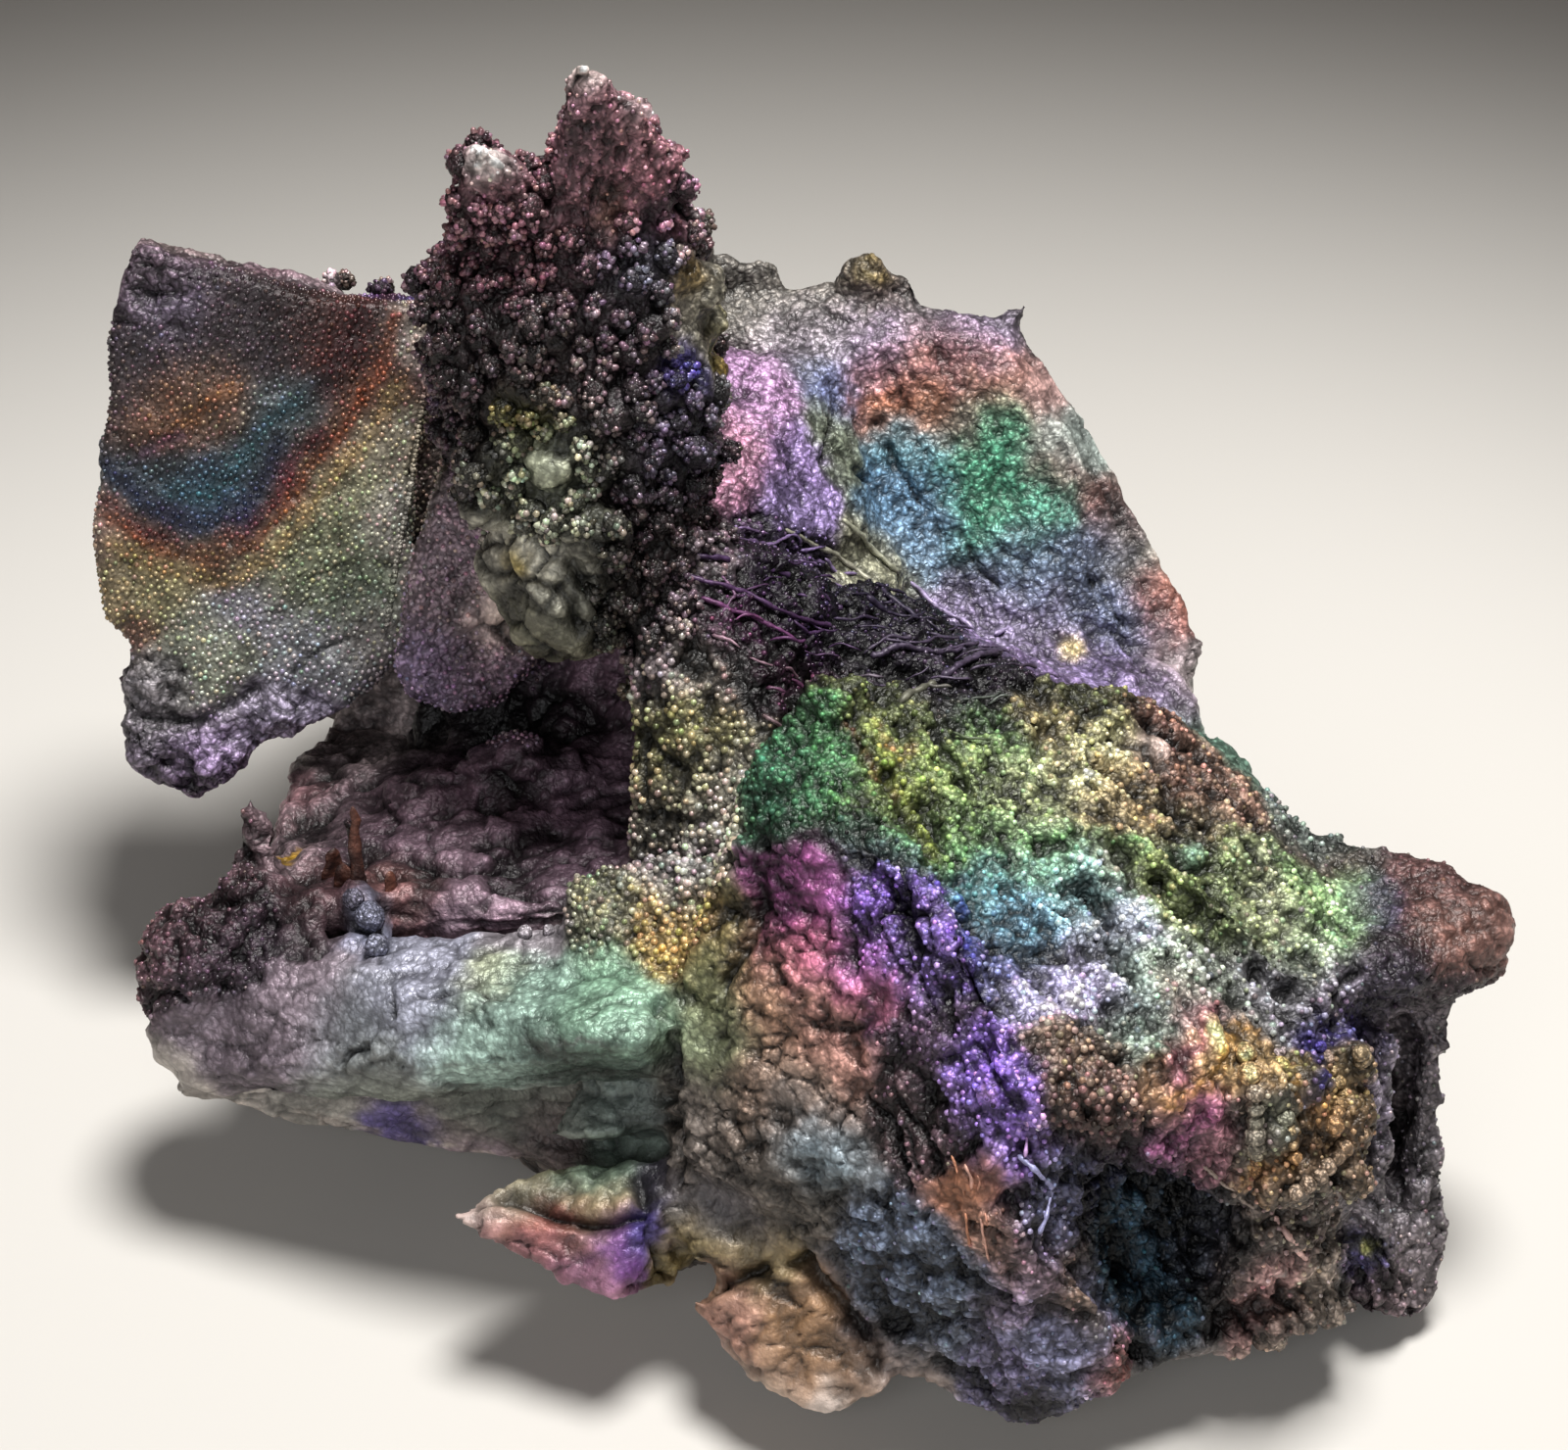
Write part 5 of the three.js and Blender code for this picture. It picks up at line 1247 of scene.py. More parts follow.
# Height in mm and painted shade of the skin
def skinRelief(points, share):
    rough = 1 + sum(share[region] * (rise - 1) for region, rise in swellRise.items())
    broad = relief["broadRise"] * swell(points, relief["broadSize"], 3, 3) * rough
    height = broad + relief["lowRise"] * swell(points, relief["lowSize"], 9, 2) * rough
    shade = 1 + relief["spotTone"] * np.clip(swell(points, relief["spotSize"], 14, 2), -1, 1)
    for size in relief["knobSizes"]:
        layers = [(region, *row[1:]) for region, rows in knobRelief.items() for row in rows if row[0] == size]
        here = np.where(sum(share[region] for region, _, _ in layers) > relief["leastShare"])[0]
        knob = knobs(points[here], size, int(size * 20))
        # Painted shade in the gaps between knobs
        gap = np.clip(1 - knob / relief["knobFoot"], 0, 1)
        for region, rise, dark in layers:
            height[here] += share[region][here] * rise * (knob - relief["knobMiddle"])
            shade[here] *= 1 - share[region][here] * dark * gap
    for number, (region, along, longer, size, width, depth, dark) in enumerate(seamRelief):
        here = np.where(share[region] > relief["leastShare"])[0]
        place, part = points[here], share[region][here]
        bent = pressed(place, along, longer) + relief["seamBend"] * drift(place, relief["seamBendSize"], 80)
        first, second, block = grains(bent, size, 200 + 10 * number)
        seam = np.clip(1 - (second - first) / width, 0, 1) * part
        seam *= np.clip(relief["seamKept"] + swell(place, relief["seamKeptSize"], 300 + number), 0, 1)
        height[here] += part * depth * (block - 0.5) - depth * seam
        # Painted shade in the seams; each block also has a tone of its own that differs at random
        shade[here] *= (1 - dark * seam) * (1 + relief["blockTone"] * part * (block - 0.5))
    for number, (region, (along, longer, size, depth, dark)) in enumerate(foldRelief.items()):
        here = np.where(share[region] > relief["leastShare"])[0]
        place = points[here] + relief["foldBend"] * drift(points[here], relief["foldBendSize"], 90)
        ridge = np.abs(swell(pressed(place, along, longer), size, 500 + number))
        fold = np.clip(1 - ridge / relief["foldWidth"], 0, 1) * share[region][here]
        fold *= np.clip(relief["foldKept"] + swell(place, relief["foldKeptSize"], 540 + number), 0, 1)
        height[here] -= depth * fold
        # Painted shade in the folds
        shade[here] *= 1 - dark * fold
    # Painted light and shade: what stands out is painted brighter, and what lies deep is painted darker
    contrast = sum(share[region] * depthShade.get(region, relief["depthTone"]) for region in regionNames)
    shade *= np.clip(1 + contrast * (height - broad), *relief["depthTones"])
    for line, halfWidth, depth in crackLines:
        near = nearCourse(points, line, relief["crackReach"])
        if len(near):
            bent = points[near] + relief["crackBend"] * drift(points[near], relief["crackBendSize"], 61)
            inCrack = np.exp(-(distanceTo(bent, line) / halfWidth) ** 2)
            height[near] -= relief["crackDepth"] * depth * inCrack
            # Painted shade in the crack
            shade[near] *= 1 - relief["crackTone"] * inCrack
    return height, np.clip(shade, relief["darkest"], relief["brightest"])


def grainOf(share, bare):
    grain = sum(share[region] * smoothRegions.get(region, 1.0) for region in regionNames)
    return grain * (1 - relief["bareGrain"] * bare)


# Splits the faces on the photo's side in four
def refine(mesh, wanted):
    grid = bmesh.new()
    grid.from_mesh(mesh)
    edges = {edge for face, fine in zip(grid.faces, wanted) if fine for edge in face.edges}
    bmesh.ops.subdivide_edges(grid, edges=list(edges), cuts=1, use_grid_fill=True)
    grid.to_mesh(mesh)
    grid.free()


print("stage: remeshing the solid")
bodyMesh = remeshed(solidNode, crustBody["voxel"])
smooth(bodyMesh, crustBody["smoothRounds"])
rear = lookAt(toArrays(bodyMesh)[0])[2]["rear"] > 0.5
corners = readAll(bodyMesh.polygons, "vertices", 4, np.int32)
refine(bodyMesh, ~rear[corners].all(1))
smooth(bodyMesh, crustBody["smoothRounds"])
points, normals = toArrays(bodyMesh)
print("stage: body has", len(points), "points")
colour, bare, share = lookAt(points)
height, shade = skinRelief(points, share)
height *= np.clip(points[:, 2] / crustBody["floorFade"], 0, 1)
points += normals * height[:, None]
points[:, 2] = np.maximum(points[:, 2], 0)
setPoints(bodyMesh, points)
points, normals = toArrays(bodyMesh)
print("stage: body is shaped")

# Beads: radius in mm, distance from bead to bead in mm and how dark the painted shade in the gaps between
# them is.
# Where the druse is finer than that in the photo, it is drawn coarser here.
beadKinds = {
    "leftPlate": (0.16, 0.34, 0.35),
    "narrowPlate": (0.15, 0.4, 0.25),
    "spires": (0.13, 0.48, 0.2),
    "furrow": (0.15, 0.42, 0.65),
    "slope": (0.23, 0.41, 0.45),
    "olive": (0.22, 0.4, 0.35),
    "violetRidge": (0.16, 0.42, 0.4),
    "frontTop": (0.19, 0.44, 0.3),
    "beadPatch": (0.22, 0.4, 0.45),
    "knobs": (0.17, 0.5, 0.5),
    "recess": (0.15, 0.6, 0.2),
    "pits": (0.15, 0.48, 0.3),
    "apron": (0.13, 0.6, 0.1),
    "horn": (0.13, 0.6, 0.1),
}
beadPieces = {
    "plateBeads": ["leftPlate", "narrowPlate"],
    "backBeads": ["furrow", "slope", "olive", "pits", "spires"],
    "frontBeads": ["frontTop", "violetRidge", "beadPatch", "knobs", "recess", "apron", "horn"],
}
beads = {
    "seed": 100,
    "sides": 5,
    "rings": ((0.74, 0.62), (1.05, -0.25)),  # radius and height in bead radii, the lower one sunk
    "candidates": 3,  # strewn points for each that is kept
    "barest": 0.25,  # no beads where the quartz is barer than this
    "darkest": 0.3,  # nor in cracks and deep gaps
    "leastShare": 0.4,  # of a piece's regions at a place that gets beads
    "lowest": 0.6,  # mm above the floor
    "radii": (0.1, 0.3),  # mm
    "spacings": (0.3, 0.7),  # mm
    "sizes": (0.7, 1.2),  # from bead to bead, as a share
    "squash": (0.75, 1.1),
    "tones": (0.85, 1.4),
    "tint": 0.09,  # how much the hue differs from bead to bead
}


# A round cap with its foot under the surface: top, upper ring and lower ring
def capShape(sides):
    shape = [(0.0, 0.0, 1.0)]
    for k, (radius, up) in enumerate(beads["rings"]):
        for i in range(sides):
            angle = 2 * math.pi * (i + 0.5 * k) / sides
            shape.append((radius * math.cos(angle), radius * math.sin(angle), up))
    faces = [(0, 1 + i, 1 + (i + 1) % sides) for i in range(sides)]
    for i in range(sides):
        j = (i + 1) % sides
        faces.append((1 + i, 1 + sides + i, 1 + j))
        faces.append((1 + j, 1 + sides + i, 1 + sides + j))
    return np.array(shape), np.array(faces)


capPoints, capFaces = capShape(beads["sides"])


# Strewn points on the body's skin at least the given distance apart
def strew(wanted, distances, rng):
    corners = trianglesOf(bodyMesh)
    corners = corners[(wanted[corners] > 0).all(1)]
    a, b, c = (points[corners[:, k]] for k in range(3))
    area = np.linalg.norm(np.cross(b - a, c - a), axis=1) / 2
    rate = area / distances[corners].mean(1) ** 2
    count = int(rate.sum() * beads["candidates"])
    picked = rng.choice(len(corners), count, p=rate / rate.sum())
    u, v = rng.random(count), rng.random(count)
    flip = u + v > 1
    u[flip], v[flip] = 1 - u[flip], 1 - v[flip]
    place = a[picked] + u[:, None] * (b - a)[picked] + v[:, None] * (c - a)[picked]
    normal = unit(normals[corners[picked]].mean(1))
    gaps = (distances[corners[picked]].mean(1) ** 2).tolist()
    cells = np.floor(place / distances.max()).astype(int).tolist()
    around = [(x, y, z) for x in (-1, 0, 1) for y in (-1, 0, 1) for z in (-1, 0, 1)]
    taken, kept = {}, []
    for i, ((x, y, z), (cx, cy, cz)) in enumerate(zip(place.tolist(), cells)):
        others = (other for dx, dy, dz in around for other in taken.get((cx + dx, cy + dy, cz + dz), ()))
        if all((x - qx) ** 2 + (y - qy) ** 2 + (z - qz) ** 2 >= gaps[i] for qx, qy, qz in others):
            taken.setdefault((cx, cy, cz), []).append((x, y, z))
            kept.append(i)
    return place[kept], normal[kept]


# Round beads with their feet under the skin
def beadSkin(place, normal, radius, squash, rng):
    side = unit(np.cross(normal, rng.normal(size=normal.shape)))
    other = np.cross(normal, side)
    local = capPoints[None] * radius[:, None, None]
    skin = place[:, None] + local[..., :1] * side[:, None] + local[..., 1:2] * other[:, None]
    skin += local[..., 2:] * squash[:, None, None] * normal[:, None]
    faces = capFaces[None] + (np.arange(len(place)) * len(capPoints))[:, None, None]
    return skin.reshape(-1, 3), faces.reshape(-1, 3).tolist()


# What the regions give together, each by its share: 0 is the radius, 1 the distance
def beadMean(shares, regions, which):
    total = sum(shares[r] for r in regions)
    return sum(shares[r] * beadKinds[r][which] for r in regions) / np.maximum(total, 1e-6)


def beadPiece(name, regions, material, seed):
    rng = np.random.default_rng(seed)
    wanted = (sum(share[r] for r in regions) > beads["leastShare"]) & (points[:, 2] > beads["lowest"])
    wanted &= (bare < beads["barest"]) & (shade > beads["darkest"])
    place, normal = strew(wanted, np.clip(beadMean(share, regions, 1), *beads["spacings"]), rng)
    tint, bareHere, shareHere = lookAt(place)
    radius = np.clip(beadMean(shareHere, regions, 0), *beads["radii"])
    radius = radius * rng.uniform(*beads["sizes"], len(place))
    squash = rng.uniform(*beads["squash"], len(place))
    skin, faces = beadSkin(place, normal, radius, squash, rng)
    # Each bead takes the painted shade of the skin where it sits, times a tone that differs at random
    tone = rng.uniform(*beads["tones"], len(place)) * skinRelief(place, shareHere)[1]
    tone = tone[:, None] * (1 + beads["tint"] * rng.normal(size=(len(place), 3)))
    each = len(capPoints)
    addPiece(name, skin, faces, material, np.repeat(tint * tone, each, 0), np.repeat(bareHere, each))


for number, (name, regions) in enumerate(beadPieces.items()):
    material = beadMaterial if name == "frontBeads" else glossyBeadMaterial
    beadPiece(name, regions, material, beads["seed"] + number)

# Balls: the cores of the column's clusters, and round knobs elsewhere
ball = {
    "lumpSize": 0.42,  # mm
    "lumpRise": 0.22,  # share of the radius
    "swellSize": 0.9,  # mm
    "swellShare": 0.4,
    "sideShadeTone": 0.55,  # painted shade: tone of a ball's sides
    "topLightTone": 0.6,  # painted light: how much brighter its outer side is
    "darkest": 0.12,
    "brightest": 1.15,
    "lowTone": 0.75,  # painted shade: tone between its lumps
    "lumpTone": 0.5,
}


def ballShape():
    grid = bmesh.new()
    bmesh.ops.create_icosphere(grid, subdivisions=2, radius=1.0)
    shape = np.array([vertex.co[:] for vertex in grid.verts])
    faces = np.array([[vertex.index for vertex in face.verts] for face in grid.faces])
    grid.free()
    return shape, faces


def ballsPiece(name, places, outwards, radii, tints, bareness):
    shape, shapeFaces = ballShape()
    radii = np.broadcast_to(radii.reshape(len(places), -1), (len(places), 3))
    skin = places[:, None] + shape[None] * radii[:, None]
    flat = skin.reshape(-1, 3)
    lumps = knobs(flat, ball["lumpSize"], 400) - 0.5
    lumps = (lumps + ball["swellShare"] * swell(flat, ball["swellSize"], 410)).reshape(skin.shape[:2])
    skin += shape[None] * radii[:, None] * ball["lumpRise"] * lumps[..., None]
    # Painted light and shade: a ball's outer side is painted brighter, its sides and the gaps between its
    # lumps darker
    facing = (shape[None] * outwards[:, None]).sum(2)
    tone = np.clip(ball["sideShadeTone"] + ball["topLightTone"] * facing, ball["darkest"], ball["brightest"])
    tone = tone * (ball["lowTone"] + ball["lumpTone"] * lumps)
    colourHere = (tints[:, None] * tone[..., None]).reshape(-1, 3)
    faces = (shapeFaces[None] + (np.arange(len(places)) * len(shape))[:, None, None]).reshape(-1, 3)
    skin = skin.reshape(-1, 3)
    skin[:, 2] = np.maximum(skin[:, 2], 0)
    addPiece(name, skin, faces.tolist(), knobMaterial, colourHere, np.repeat(bareness, len(shape)))


# The crumbly clusters that cover the column: a dark core with small beads all over its outer side
cluster = {
    "seed": 50,
    "spacing": 1.25,  # mm
    "radius": (0.5, 0.85),  # mm
    "stretch": (0.7, 1.3),  # how uneven a core is
    "standOff": 0.3,  # how far a core's middle is above the skin, in its radii
    "beads": 26,
    "beadRadius": (0.12, 0.25),  # mm
    "beadHeight": (0.85, 1.1),  # of a bead's foot, in core radii
    "beadSquash": (0.8, 1.5),
    "inwards": 0.15,  # how far beads go around to a core's inner side
    "coreTone": 0.35,
    "gapShadeTone": 0.7,  # painted shade: how much darker the skin is between clusters
    "tones": (0.75, 1.3),  # from core to core
    "beadTones": (0.45, 1.7),  # from bead to bead
    "sideShadeTone": 0.4,  # painted shade, the same as for the balls, for the beads
    # painted light, the same as for the balls
    "topLightTone": 0.8,
    "darkest": 0.15,
    "brightest": 1.2,
    "tint": 0.08,  # how much the hue differs from bead to bead
    "leastShare": 0.5,  # of the column or the rear at a place that gets clusters
    "barest": 0.45,
    "lowest": 1,  # mm above the floor
    "boulderShare": 0.4,
    "reach": 13.0,  # mm from the column's axis, on its far side
    "rearFoot": 40.0,  # mm above the floor, where the clusters begin on the far side
    "darkBoulder": 0.12,  # mean colour under which the boulder's crust carries clusters too
}


def clusterPieces(place, normal, rng):
    count = len(place)
    radii = rng.uniform(*cluster["radius"], (count, 1)) * rng.uniform(*cluster["stretch"], place.shape)
    middle = place + normal * radii * cluster["standOff"]
    tint, bareHere, _ = lookAt(place)
    tint = tint * rng.uniform(*cluster["tones"], (count, 1))
    ballsPiece("clusterCores", middle, normal, radii, tint * cluster["coreTone"], bareHere)
    toward = unit(rng.normal(size=(count, cluster["beads"], 3)))
    facing = (toward * normal[:, None]).sum(2)
    toward -= 2 * np.minimum(facing + cluster["inwards"], 0)[..., None] * normal[:, None]
    toward = unit(toward)
    facing = (toward * normal[:, None]).sum(2).ravel()
    height = rng.uniform(*cluster["beadHeight"], facing.size).reshape(count, -1, 1)
    foot = (middle[:, None] + toward * radii[:, None] * height).reshape(-1, 3)
    beadRadii = rng.uniform(*cluster["beadRadius"], len(foot))
    squash = rng.uniform(*cluster["beadSquash"], len(foot))
    skin, faces = beadSkin(foot, toward.reshape(-1, 3), beadRadii, squash, rng)
    # Painted light and shade: beads that face outwards are painted brighter, the rest darker
    tone = cluster["sideShadeTone"] + cluster["topLightTone"] * facing
    tone = np.clip(tone, cluster["darkest"], cluster["brightest"])
    tone = tone * rng.uniform(*cluster["beadTones"], len(foot))
    tone = tone[:, None] * (1 + cluster["tint"] * rng.normal(size=foot.shape))
    beadTint = np.repeat(tint, cluster["beads"], 0) * tone
    each = len(capPoints)
    addPiece("clusterBeads", skin, faces, glossyBeadMaterial, np.repeat(beadTint, each, 0),
             np.repeat(bareHere, each * cluster["beads"]))


rng = np.random.default_rng(cluster["seed"])
onColumn = (share["column"] > cluster["leastShare"]) & (bare < cluster["barest"])
onColumn &= points[:, 2] > cluster["lowest"]
columnAxis = points[onColumn].mean(0)
around = np.hypot(*(points[:, :2] - columnAxis[:2]).T) < cluster["reach"]
onColumn |= (share["boulder"] > cluster["boulderShare"]) & (colour.mean(1) < cluster["darkBoulder"])
onColumn |= (share["rear"] > cluster["leastShare"]) & around & (points[:, 2] > cluster["rearFoot"])
place, normal = strew(onColumn, np.full(len(points), cluster["spacing"]), rng)
lumps = np.array([placeAt(*pixel) for pixel in plateLumps.values()])
place = np.concatenate([place, lumps])
normal = np.concatenate([normal, np.tile([0.0, 0.0, 1.0], (len(lumps), 1))])
clusterPieces(place, normal, rng)

knobLook = {
    "step": 1.6,  # from knob to knob, in radii
    "sizes": (0.8, 1.2),
    "standOff": 0.5,  # how far a knob's middle is in front of the skin, in its radii
    "tone": 1.7,
}
knobPlaces, knobRadii = [], []
for course, radius in knobRows.values():
    line = [placeAt(*pixel) for pixel in course]
    for a, b in zip(line, line[1:]):
        count = max(1, round(np.linalg.norm(b - a) / (radius * knobLook["step"])))
        knobPlaces += [a + (b - a) * i / count for i in range(count)]
        knobRadii += list(radius * rng.uniform(*knobLook["sizes"], count))
for x, y, radius in singleKnobs.values():
    knobPlaces.append(placeAt(x, y))
    knobRadii.append(radius)
knobPlaces, knobRadii = np.array(knobPlaces), np.array(knobRadii)
tint, bareHere, _ = lookAt(knobPlaces)
middles = knobPlaces - lookAlong * (knobRadii * knobLook["standOff"])[:, None]
ballsPiece("roundKnobs", middles, np.tile(-lookAlong, (len(middles), 1)), knobRadii,
           tint * knobLook["tone"], bareHere)

# Painted shade: the skin is painted darker between the beads and darker still between the clusters
dark = sum(share[region] * kind[2] for region, kind in beadKinds.items())
shade *= 1 - dark * (bare < beads["barest"])
shade *= 1 - cluster["gapShadeTone"] * onColumn * np.maximum(share["column"], share["rear"])
skinPieces = {
    "plateCrust": ["leftPlate", "plateEdge", "narrowPlate"],
    "columnCrust": ["column", "boulder", "spires"],
    "backCrust": ["backPlate", "furrow", "slope"],
    "frontCrust": ["frontTop", "violetRidge", "beadPatch", "stripes", "knobs", "leftFront", "horn",
                   "recess", "apron", "olive"],
    "footCrust": ["ledge", "pits", "cave", "shards"],
    "rearCrust": ["rear"],
}
corners = trianglesOf(bodyMesh)
groupShares = np.stack([sum(share[r] for r in regions) for regions in skinPieces.values()], 1)
groupOf = groupShares.argmax(1)[corners[:, 0]]
grain = grainOf(share, bare)
# The skin's tint carries the painted light and shade from above
for number, name in enumerate(skinPieces):
    used, faces = np.unique(corners[groupOf == number], return_inverse=True)
    piece = addPiece(name, points[used], faces.reshape(-1, 3).tolist(), crustMaterial,
                     (colour * shade[:, None])[used], bare[used], grain[used], normals[used])
    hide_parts("specimen")

# Fins
print("stage: fins")
finLook = {
    "seed": 11,
    "dark": "#33211f",
    "rust": "#74483a",
    "rings": 12,
    "sunk": 0.3,  # share of the height that is under the crust
    "lean": 0.25,  # towards the camera
    "tilt": 0.12,
    "turn": 0.4,
    "bend": 0.22,  # mm
    "bendSize": 0.7,  # mm
    "rustSize": 0.6,  # mm
    "grain": 0.4,
}


# The faces with four corners between rings of points
def ringFaces(rings, sides):
    faces = []
    for i in range(rings - 1):
        low, high = i * sides, (i + 1) * sides
        for j in range(sides):
            k = (j + 1) % sides
            faces.append([low + j, low + k, high + k, high + j])
    return faces


# Several shapes in one: points and faces, and the number of points of each
def joined(shapes):
    allPoints, allFaces, counts = [], [], []
    for shapePoints, shapeFaces in shapes:
        allFaces += [[i + sum(counts) for i in face] for face in shapeFaces]
        allPoints.append(shapePoints)
        counts.append(len(shapePoints))
    return np.concatenate(allPoints), allFaces, counts


def fin(foot, height, width, thickness, rng):
    up = unit(np.array([0, 0, 1]) + finLook["lean"] * lookUp + finLook["tilt"] * rng.normal(size=3))
    side = unit(np.cross(up, lookAlong + finLook["turn"] * rng.normal(size=3)))
    front = np.cross(side, up)
    count = finLook["rings"]
    t = np.repeat(np.linspace(-finLook["sunk"], 1, count), count)
    angle = np.tile(np.arange(count) * 2 * math.pi / count, count)
    taper = np.sqrt(np.clip(1 - np.clip(t, 0, 1) ** 2, 0.01, 1))
    across = np.outer(width / 2 * taper * np.cos(angle), side)
    across += np.outer(thickness / 2 * taper * np.sin(angle), front)
    place = foot + np.outer(height * t, up) + across
    place += finLook["bend"] * drift(place, finLook["bendSize"], 74)
    return place, ringFaces(count, count) + [[(count - 1) * count + j for j in range(count)]]


rng = np.random.default_rng(finLook["seed"])
finPoints, finFaces, _ = joined(fin(placeAt(x, y), *size, rng) for x, y, *size in rustFins.values())
rust = np.clip(0.5 + swell(finPoints, finLook["rustSize"], 77), 0, 1)[:, None]
finColour = np.array(toLinear(finLook["dark"])) * (1 - rust) + np.array(toLinear(finLook["rust"])) * rust
addPiece("rustFins", finPoints, finFaces, crustMaterial, finColour, np.zeros(len(finPoints)),
         np.full(len(finPoints), finLook["grain"]))

# Strands
print("stage: strands")
strandLook = {
    "step": 0.2,  # mm
    "rounds": 6,  # of smoothing
    "bend": 0.14,  # mm
    "bendSize": 0.8,  # mm
    "standOff": 0.5,  # how far the middle is in front of the course, in radii
    "sides": 7,
    "thickness": 0.85,  # share of the radius
    "lumpSize": 0.35,  # mm
    "lumps": 0.35,
    "unevenness": 0.12,
    "tip": 0.3,  # radius of the ends, in radii
    "radius": 0.65,  # of the named strands, of the radius that the photo shows
    "tone": 1.05,
}


def tube(line, radius, rng):
    steps = [line[0]]
    for a, b in zip(line, line[1:]):
        count = max(2, int(np.linalg.norm(b - a) / strandLook["step"]))
        steps += [a + (b - a) * i / count for i in range(1, count + 1)]
    course = np.array(steps)
    for _ in range(strandLook["rounds"]):
        course[1:-1] = (course[:-2] + 2 * course[1:-1] + course[2:]) / 4
    course += strandLook["bend"] * drift(course, strandLook["bendSize"], 71)
    course += -lookAlong * radius * strandLook["standOff"]
    along = unit(np.gradient(course, axis=0))
    side = unit(np.cross(along, lookAlong))
    up = np.cross(side, along)
    sides = strandLook["sides"]
    thick = strandLook["thickness"] + strandLook["lumps"] * swell(course, strandLook["lumpSize"], 90)
    thick = radius * (thick + strandLook["unevenness"] * rng.normal(size=len(course)))
    thick[0] = thick[-1] = radius * strandLook["tip"]
    angle = np.arange(sides) * 2 * math.pi / sides
    ring = np.cos(angle)[None, :, None] * side[:, None] + np.sin(angle)[None, :, None] * up[:, None]
    tubePoints = (course[:, None] + ring * thick[:, None, None]).reshape(-1, 3)
    last = (len(course) - 1) * sides
    ends = [list(range(sides))[::-1], [last + j for j in range(sides)]]
    return tubePoints, ringFaces(len(course), sides) + ends


# Short strings side by side in the furrow, along its main strands
strings = {
    "seed": 7,
    "parts": 3,  # of a string's course
    "spacing": 1.6,  # mm
    "length": (1.2, 3.6),  # mm
    "radius": (0.07, 0.14),  # mm
    "step": 1.3,  # mm between the places of a strand where it ends
    "clear": 0.1,  # mm that a string's start is above the crust
    "clearance": 0.2,  # mm that its other places are above it
    "spread": 0.35,  # how far strings part from the strands' direction
    "share": 0.9,  # of the furrow at a place that gets a string
    "from": (705, 566),  # pixels, the two ends of the first strand
    "to": (860, 622),
}
rng = np.random.default_rng(strings["seed"])
courses = []


# A course laid on the crust, in runs that end where the crust steps away from it
def laidOn(course):
    runs = [[]]
    for place in traced(course, 8):
        if runs[-1] and np.linalg.norm(place - runs[-1][-1]) > strings["step"]:
            runs.append([])
        runs[-1].append(place)
    return [run for run in runs if len(run) > 3]


for course, radius in strands.values():
    for line in laidOn(course):
        courses.append((line, radius * strandLook["radius"], line[len(line) // 2]))
flow = unit(placeAt(*strings["to"]) - placeAt(*strings["from"]))
spacing = np.full(len(points), strings["spacing"])
for start, up in zip(*strew(share["furrow"] > strings["share"], spacing, rng)):
    line = [start + up * strings["clear"]]
    for _ in range(strings["parts"]):
        turned = flow + strings["spread"] * rng.normal(size=3)
        step = line[-1] + turned * rng.uniform(*strings["length"]) / strings["parts"]
        hit, out = solidTree.find_nearest(Vector(step * mm))[:2]
        line.append(np.array(hit) / mm + np.array(out) * strings["clearance"])
    courses.append((line, rng.uniform(*strings["radius"]), start))
strandPoints, strandFaces, counts = joined(tube(line, radius, rng) for line, radius, _ in courses)
strandPlaces = np.repeat([place for _, _, place in courses], counts, 0)
strandColour, strandBare, _ = lookAt(strandPlaces)
addPiece("crustedStrands", strandPoints, strandFaces, beadMaterial,
         strandColour * strandLook["tone"], strandBare)

# Floor, light and camera
print("stage: floor, light and camera")
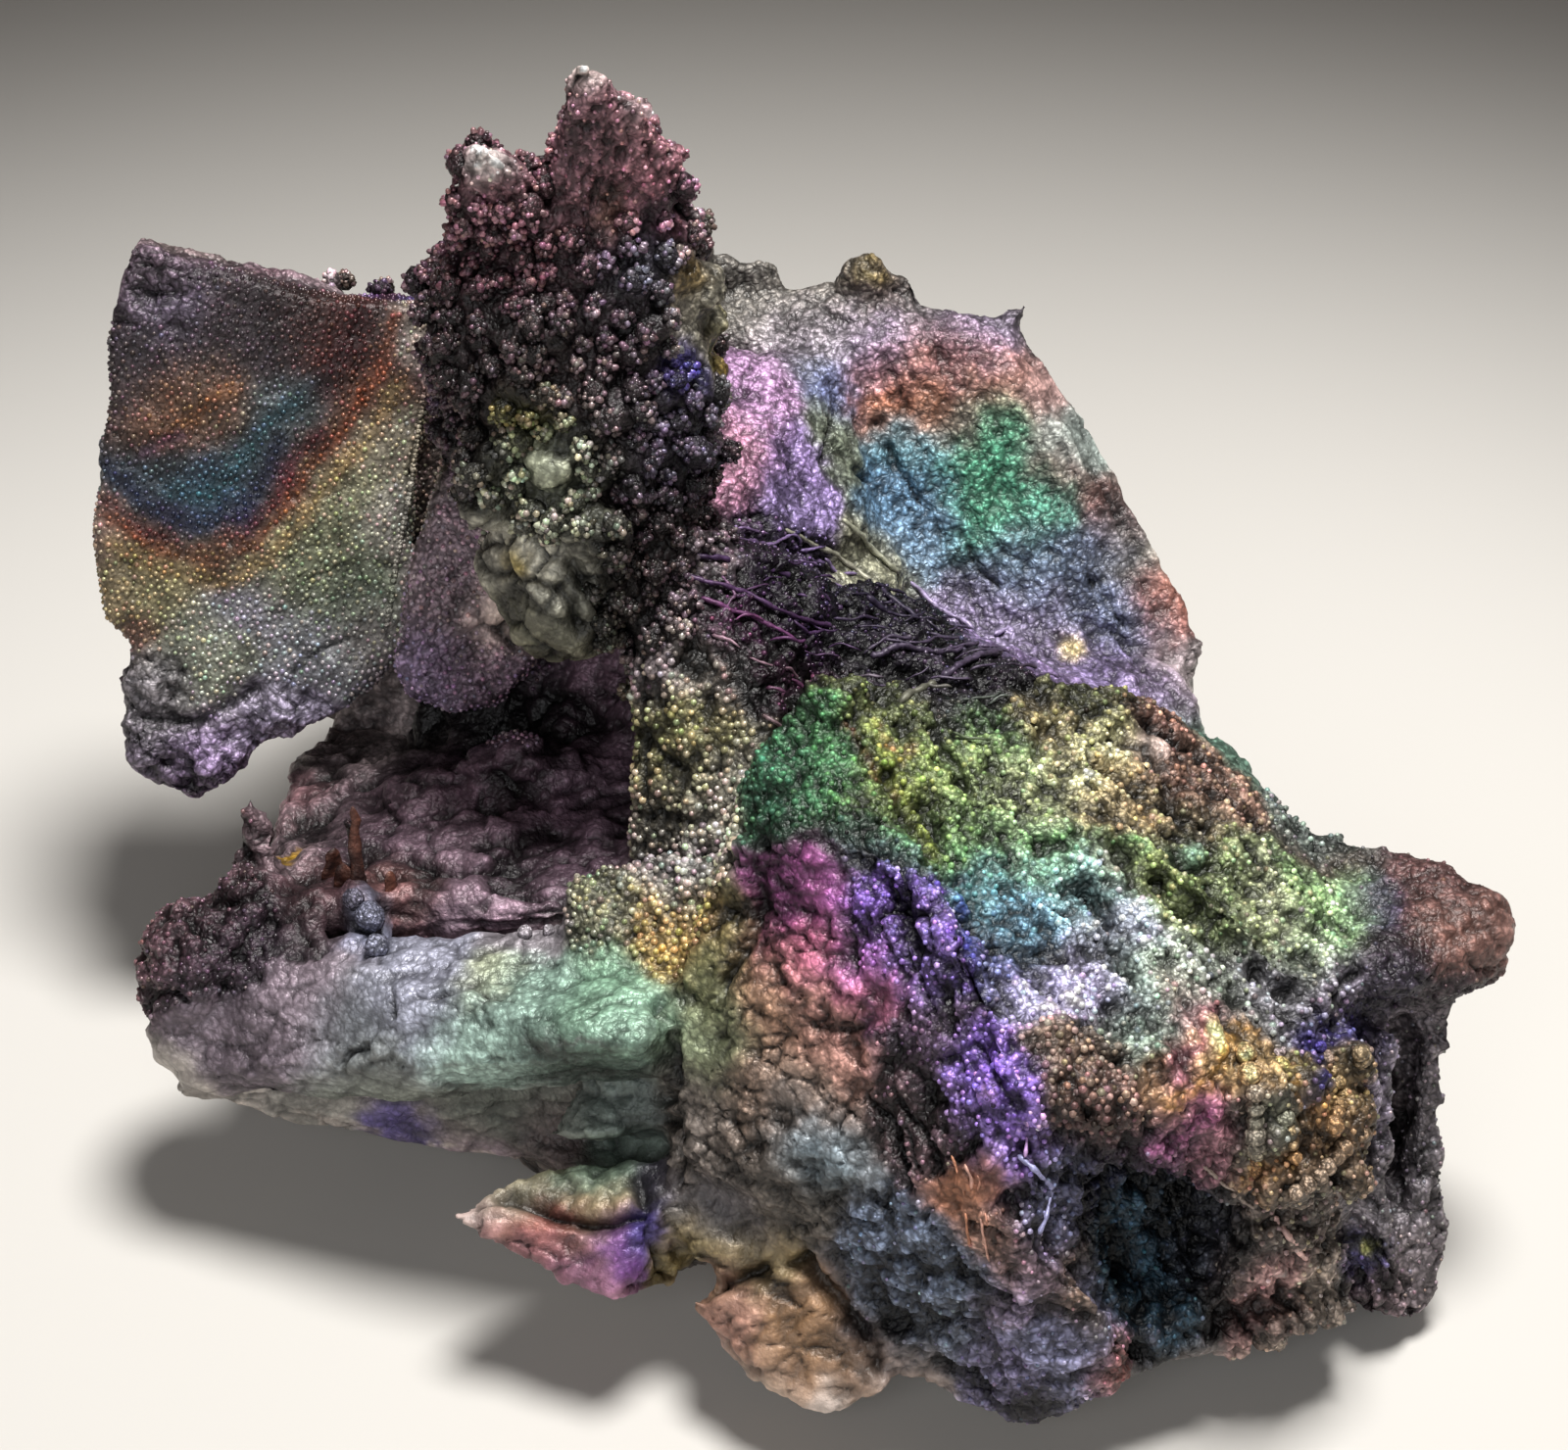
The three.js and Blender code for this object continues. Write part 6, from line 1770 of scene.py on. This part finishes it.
# A matte board, bright and without reflections
board = {
    "colour": "#d0cdc8",
    "roughness": 0.75,
    "corners": [(-1.2, -1.0, 0), (1.2, -1.0, 0), (1.2, 1.4, 0), (-1.2, 1.4, 0)],  # m
}
floorMaterial = freshMaterial("matteWhiteBoard")
floorShader = addNode(floorMaterial.node_tree, "BsdfPrincipled",
                      {"Base Color": (*toLinear(board["colour"]), 1), "Roughness": board["roughness"]})
addNode(floorMaterial.node_tree, "OutputMaterial", None, {"Surface": floorShader.outputs["BSDF"]})
floorMesh = bpy.data.meshes.new("floor")
floorMesh.from_pydata(board["corners"], [], [(0, 1, 2, 3)])
floorMesh.materials.append(floorMaterial)
floor = bpy.data.objects.new("floor", floorMesh)
bpy.context.scene.collection.objects.link(floor)


# Places in m, power in watts
lamps = {
    "keyLight": {
        "kind": "SPOT",
        "place": (0.045, 0.03, 0.38),
        "aim": (0.0, -0.063, 0.0),
        "settings": {
            "energy": 8.35,
            "spot_size": math.radians(62),
            "spot_blend": 0.6,
            "shadow_soft_size": 0.06,
            "color": (1.0, 0.985, 0.96),
        },
    },
    "frontFill": {
        "kind": "AREA",
        "place": (-0.1, -0.42, 0.3),
        "aim": (0, 0, 0.02),
        "settings": {
            "energy": 0.7,
            "shape": "DISK",
            "size": 0.35,
            "color": (0.96, 0.98, 1.0),
        },
    },
}
for name, values in lamps.items():
    data = bpy.data.lights.new(name, values["kind"])
    for key, value in values["settings"].items():
        setattr(data, key, value)
    lamp = bpy.data.objects.new(name, data)
    lamp.location = values["place"]
    lamp.rotation_mode = "QUATERNION"
    lamp.rotation_quaternion = (Vector(values["aim"]) - lamp.location).to_track_quat("-Z", "Y")
    bpy.context.scene.collection.objects.link(lamp)

studio = {
    "colour": "#d8c8bc",
    "strength": 0.08,
}
world = bpy.data.worlds.new("studio")
world.use_nodes = True
background = world.node_tree.nodes["Background"]
background.inputs["Color"].default_value = (*toLinear(studio["colour"]), 1)
background.inputs["Strength"].default_value = studio["strength"]
bpy.context.scene.world = world
bpy.context.scene.view_settings.view_transform = "Standard"

cameraData = bpy.data.cameras.new("photoCamera")
cameraData.lens = photo["lens"]
cameraData.sensor_width = photo["sensor"]
cameraData.clip_start = 0.01
camera = bpy.data.objects.new("photoCamera", cameraData)
camera.location = Vector(photoEye * mm)
camera.rotation_mode = "QUATERNION"
camera.rotation_quaternion = Vector(lookAlong).to_track_quat("-Z", "Y")
bpy.context.scene.collection.objects.link(camera)
bpy.context.scene.camera = camera

bpy.context.view_layer.update()
print("stage: done")
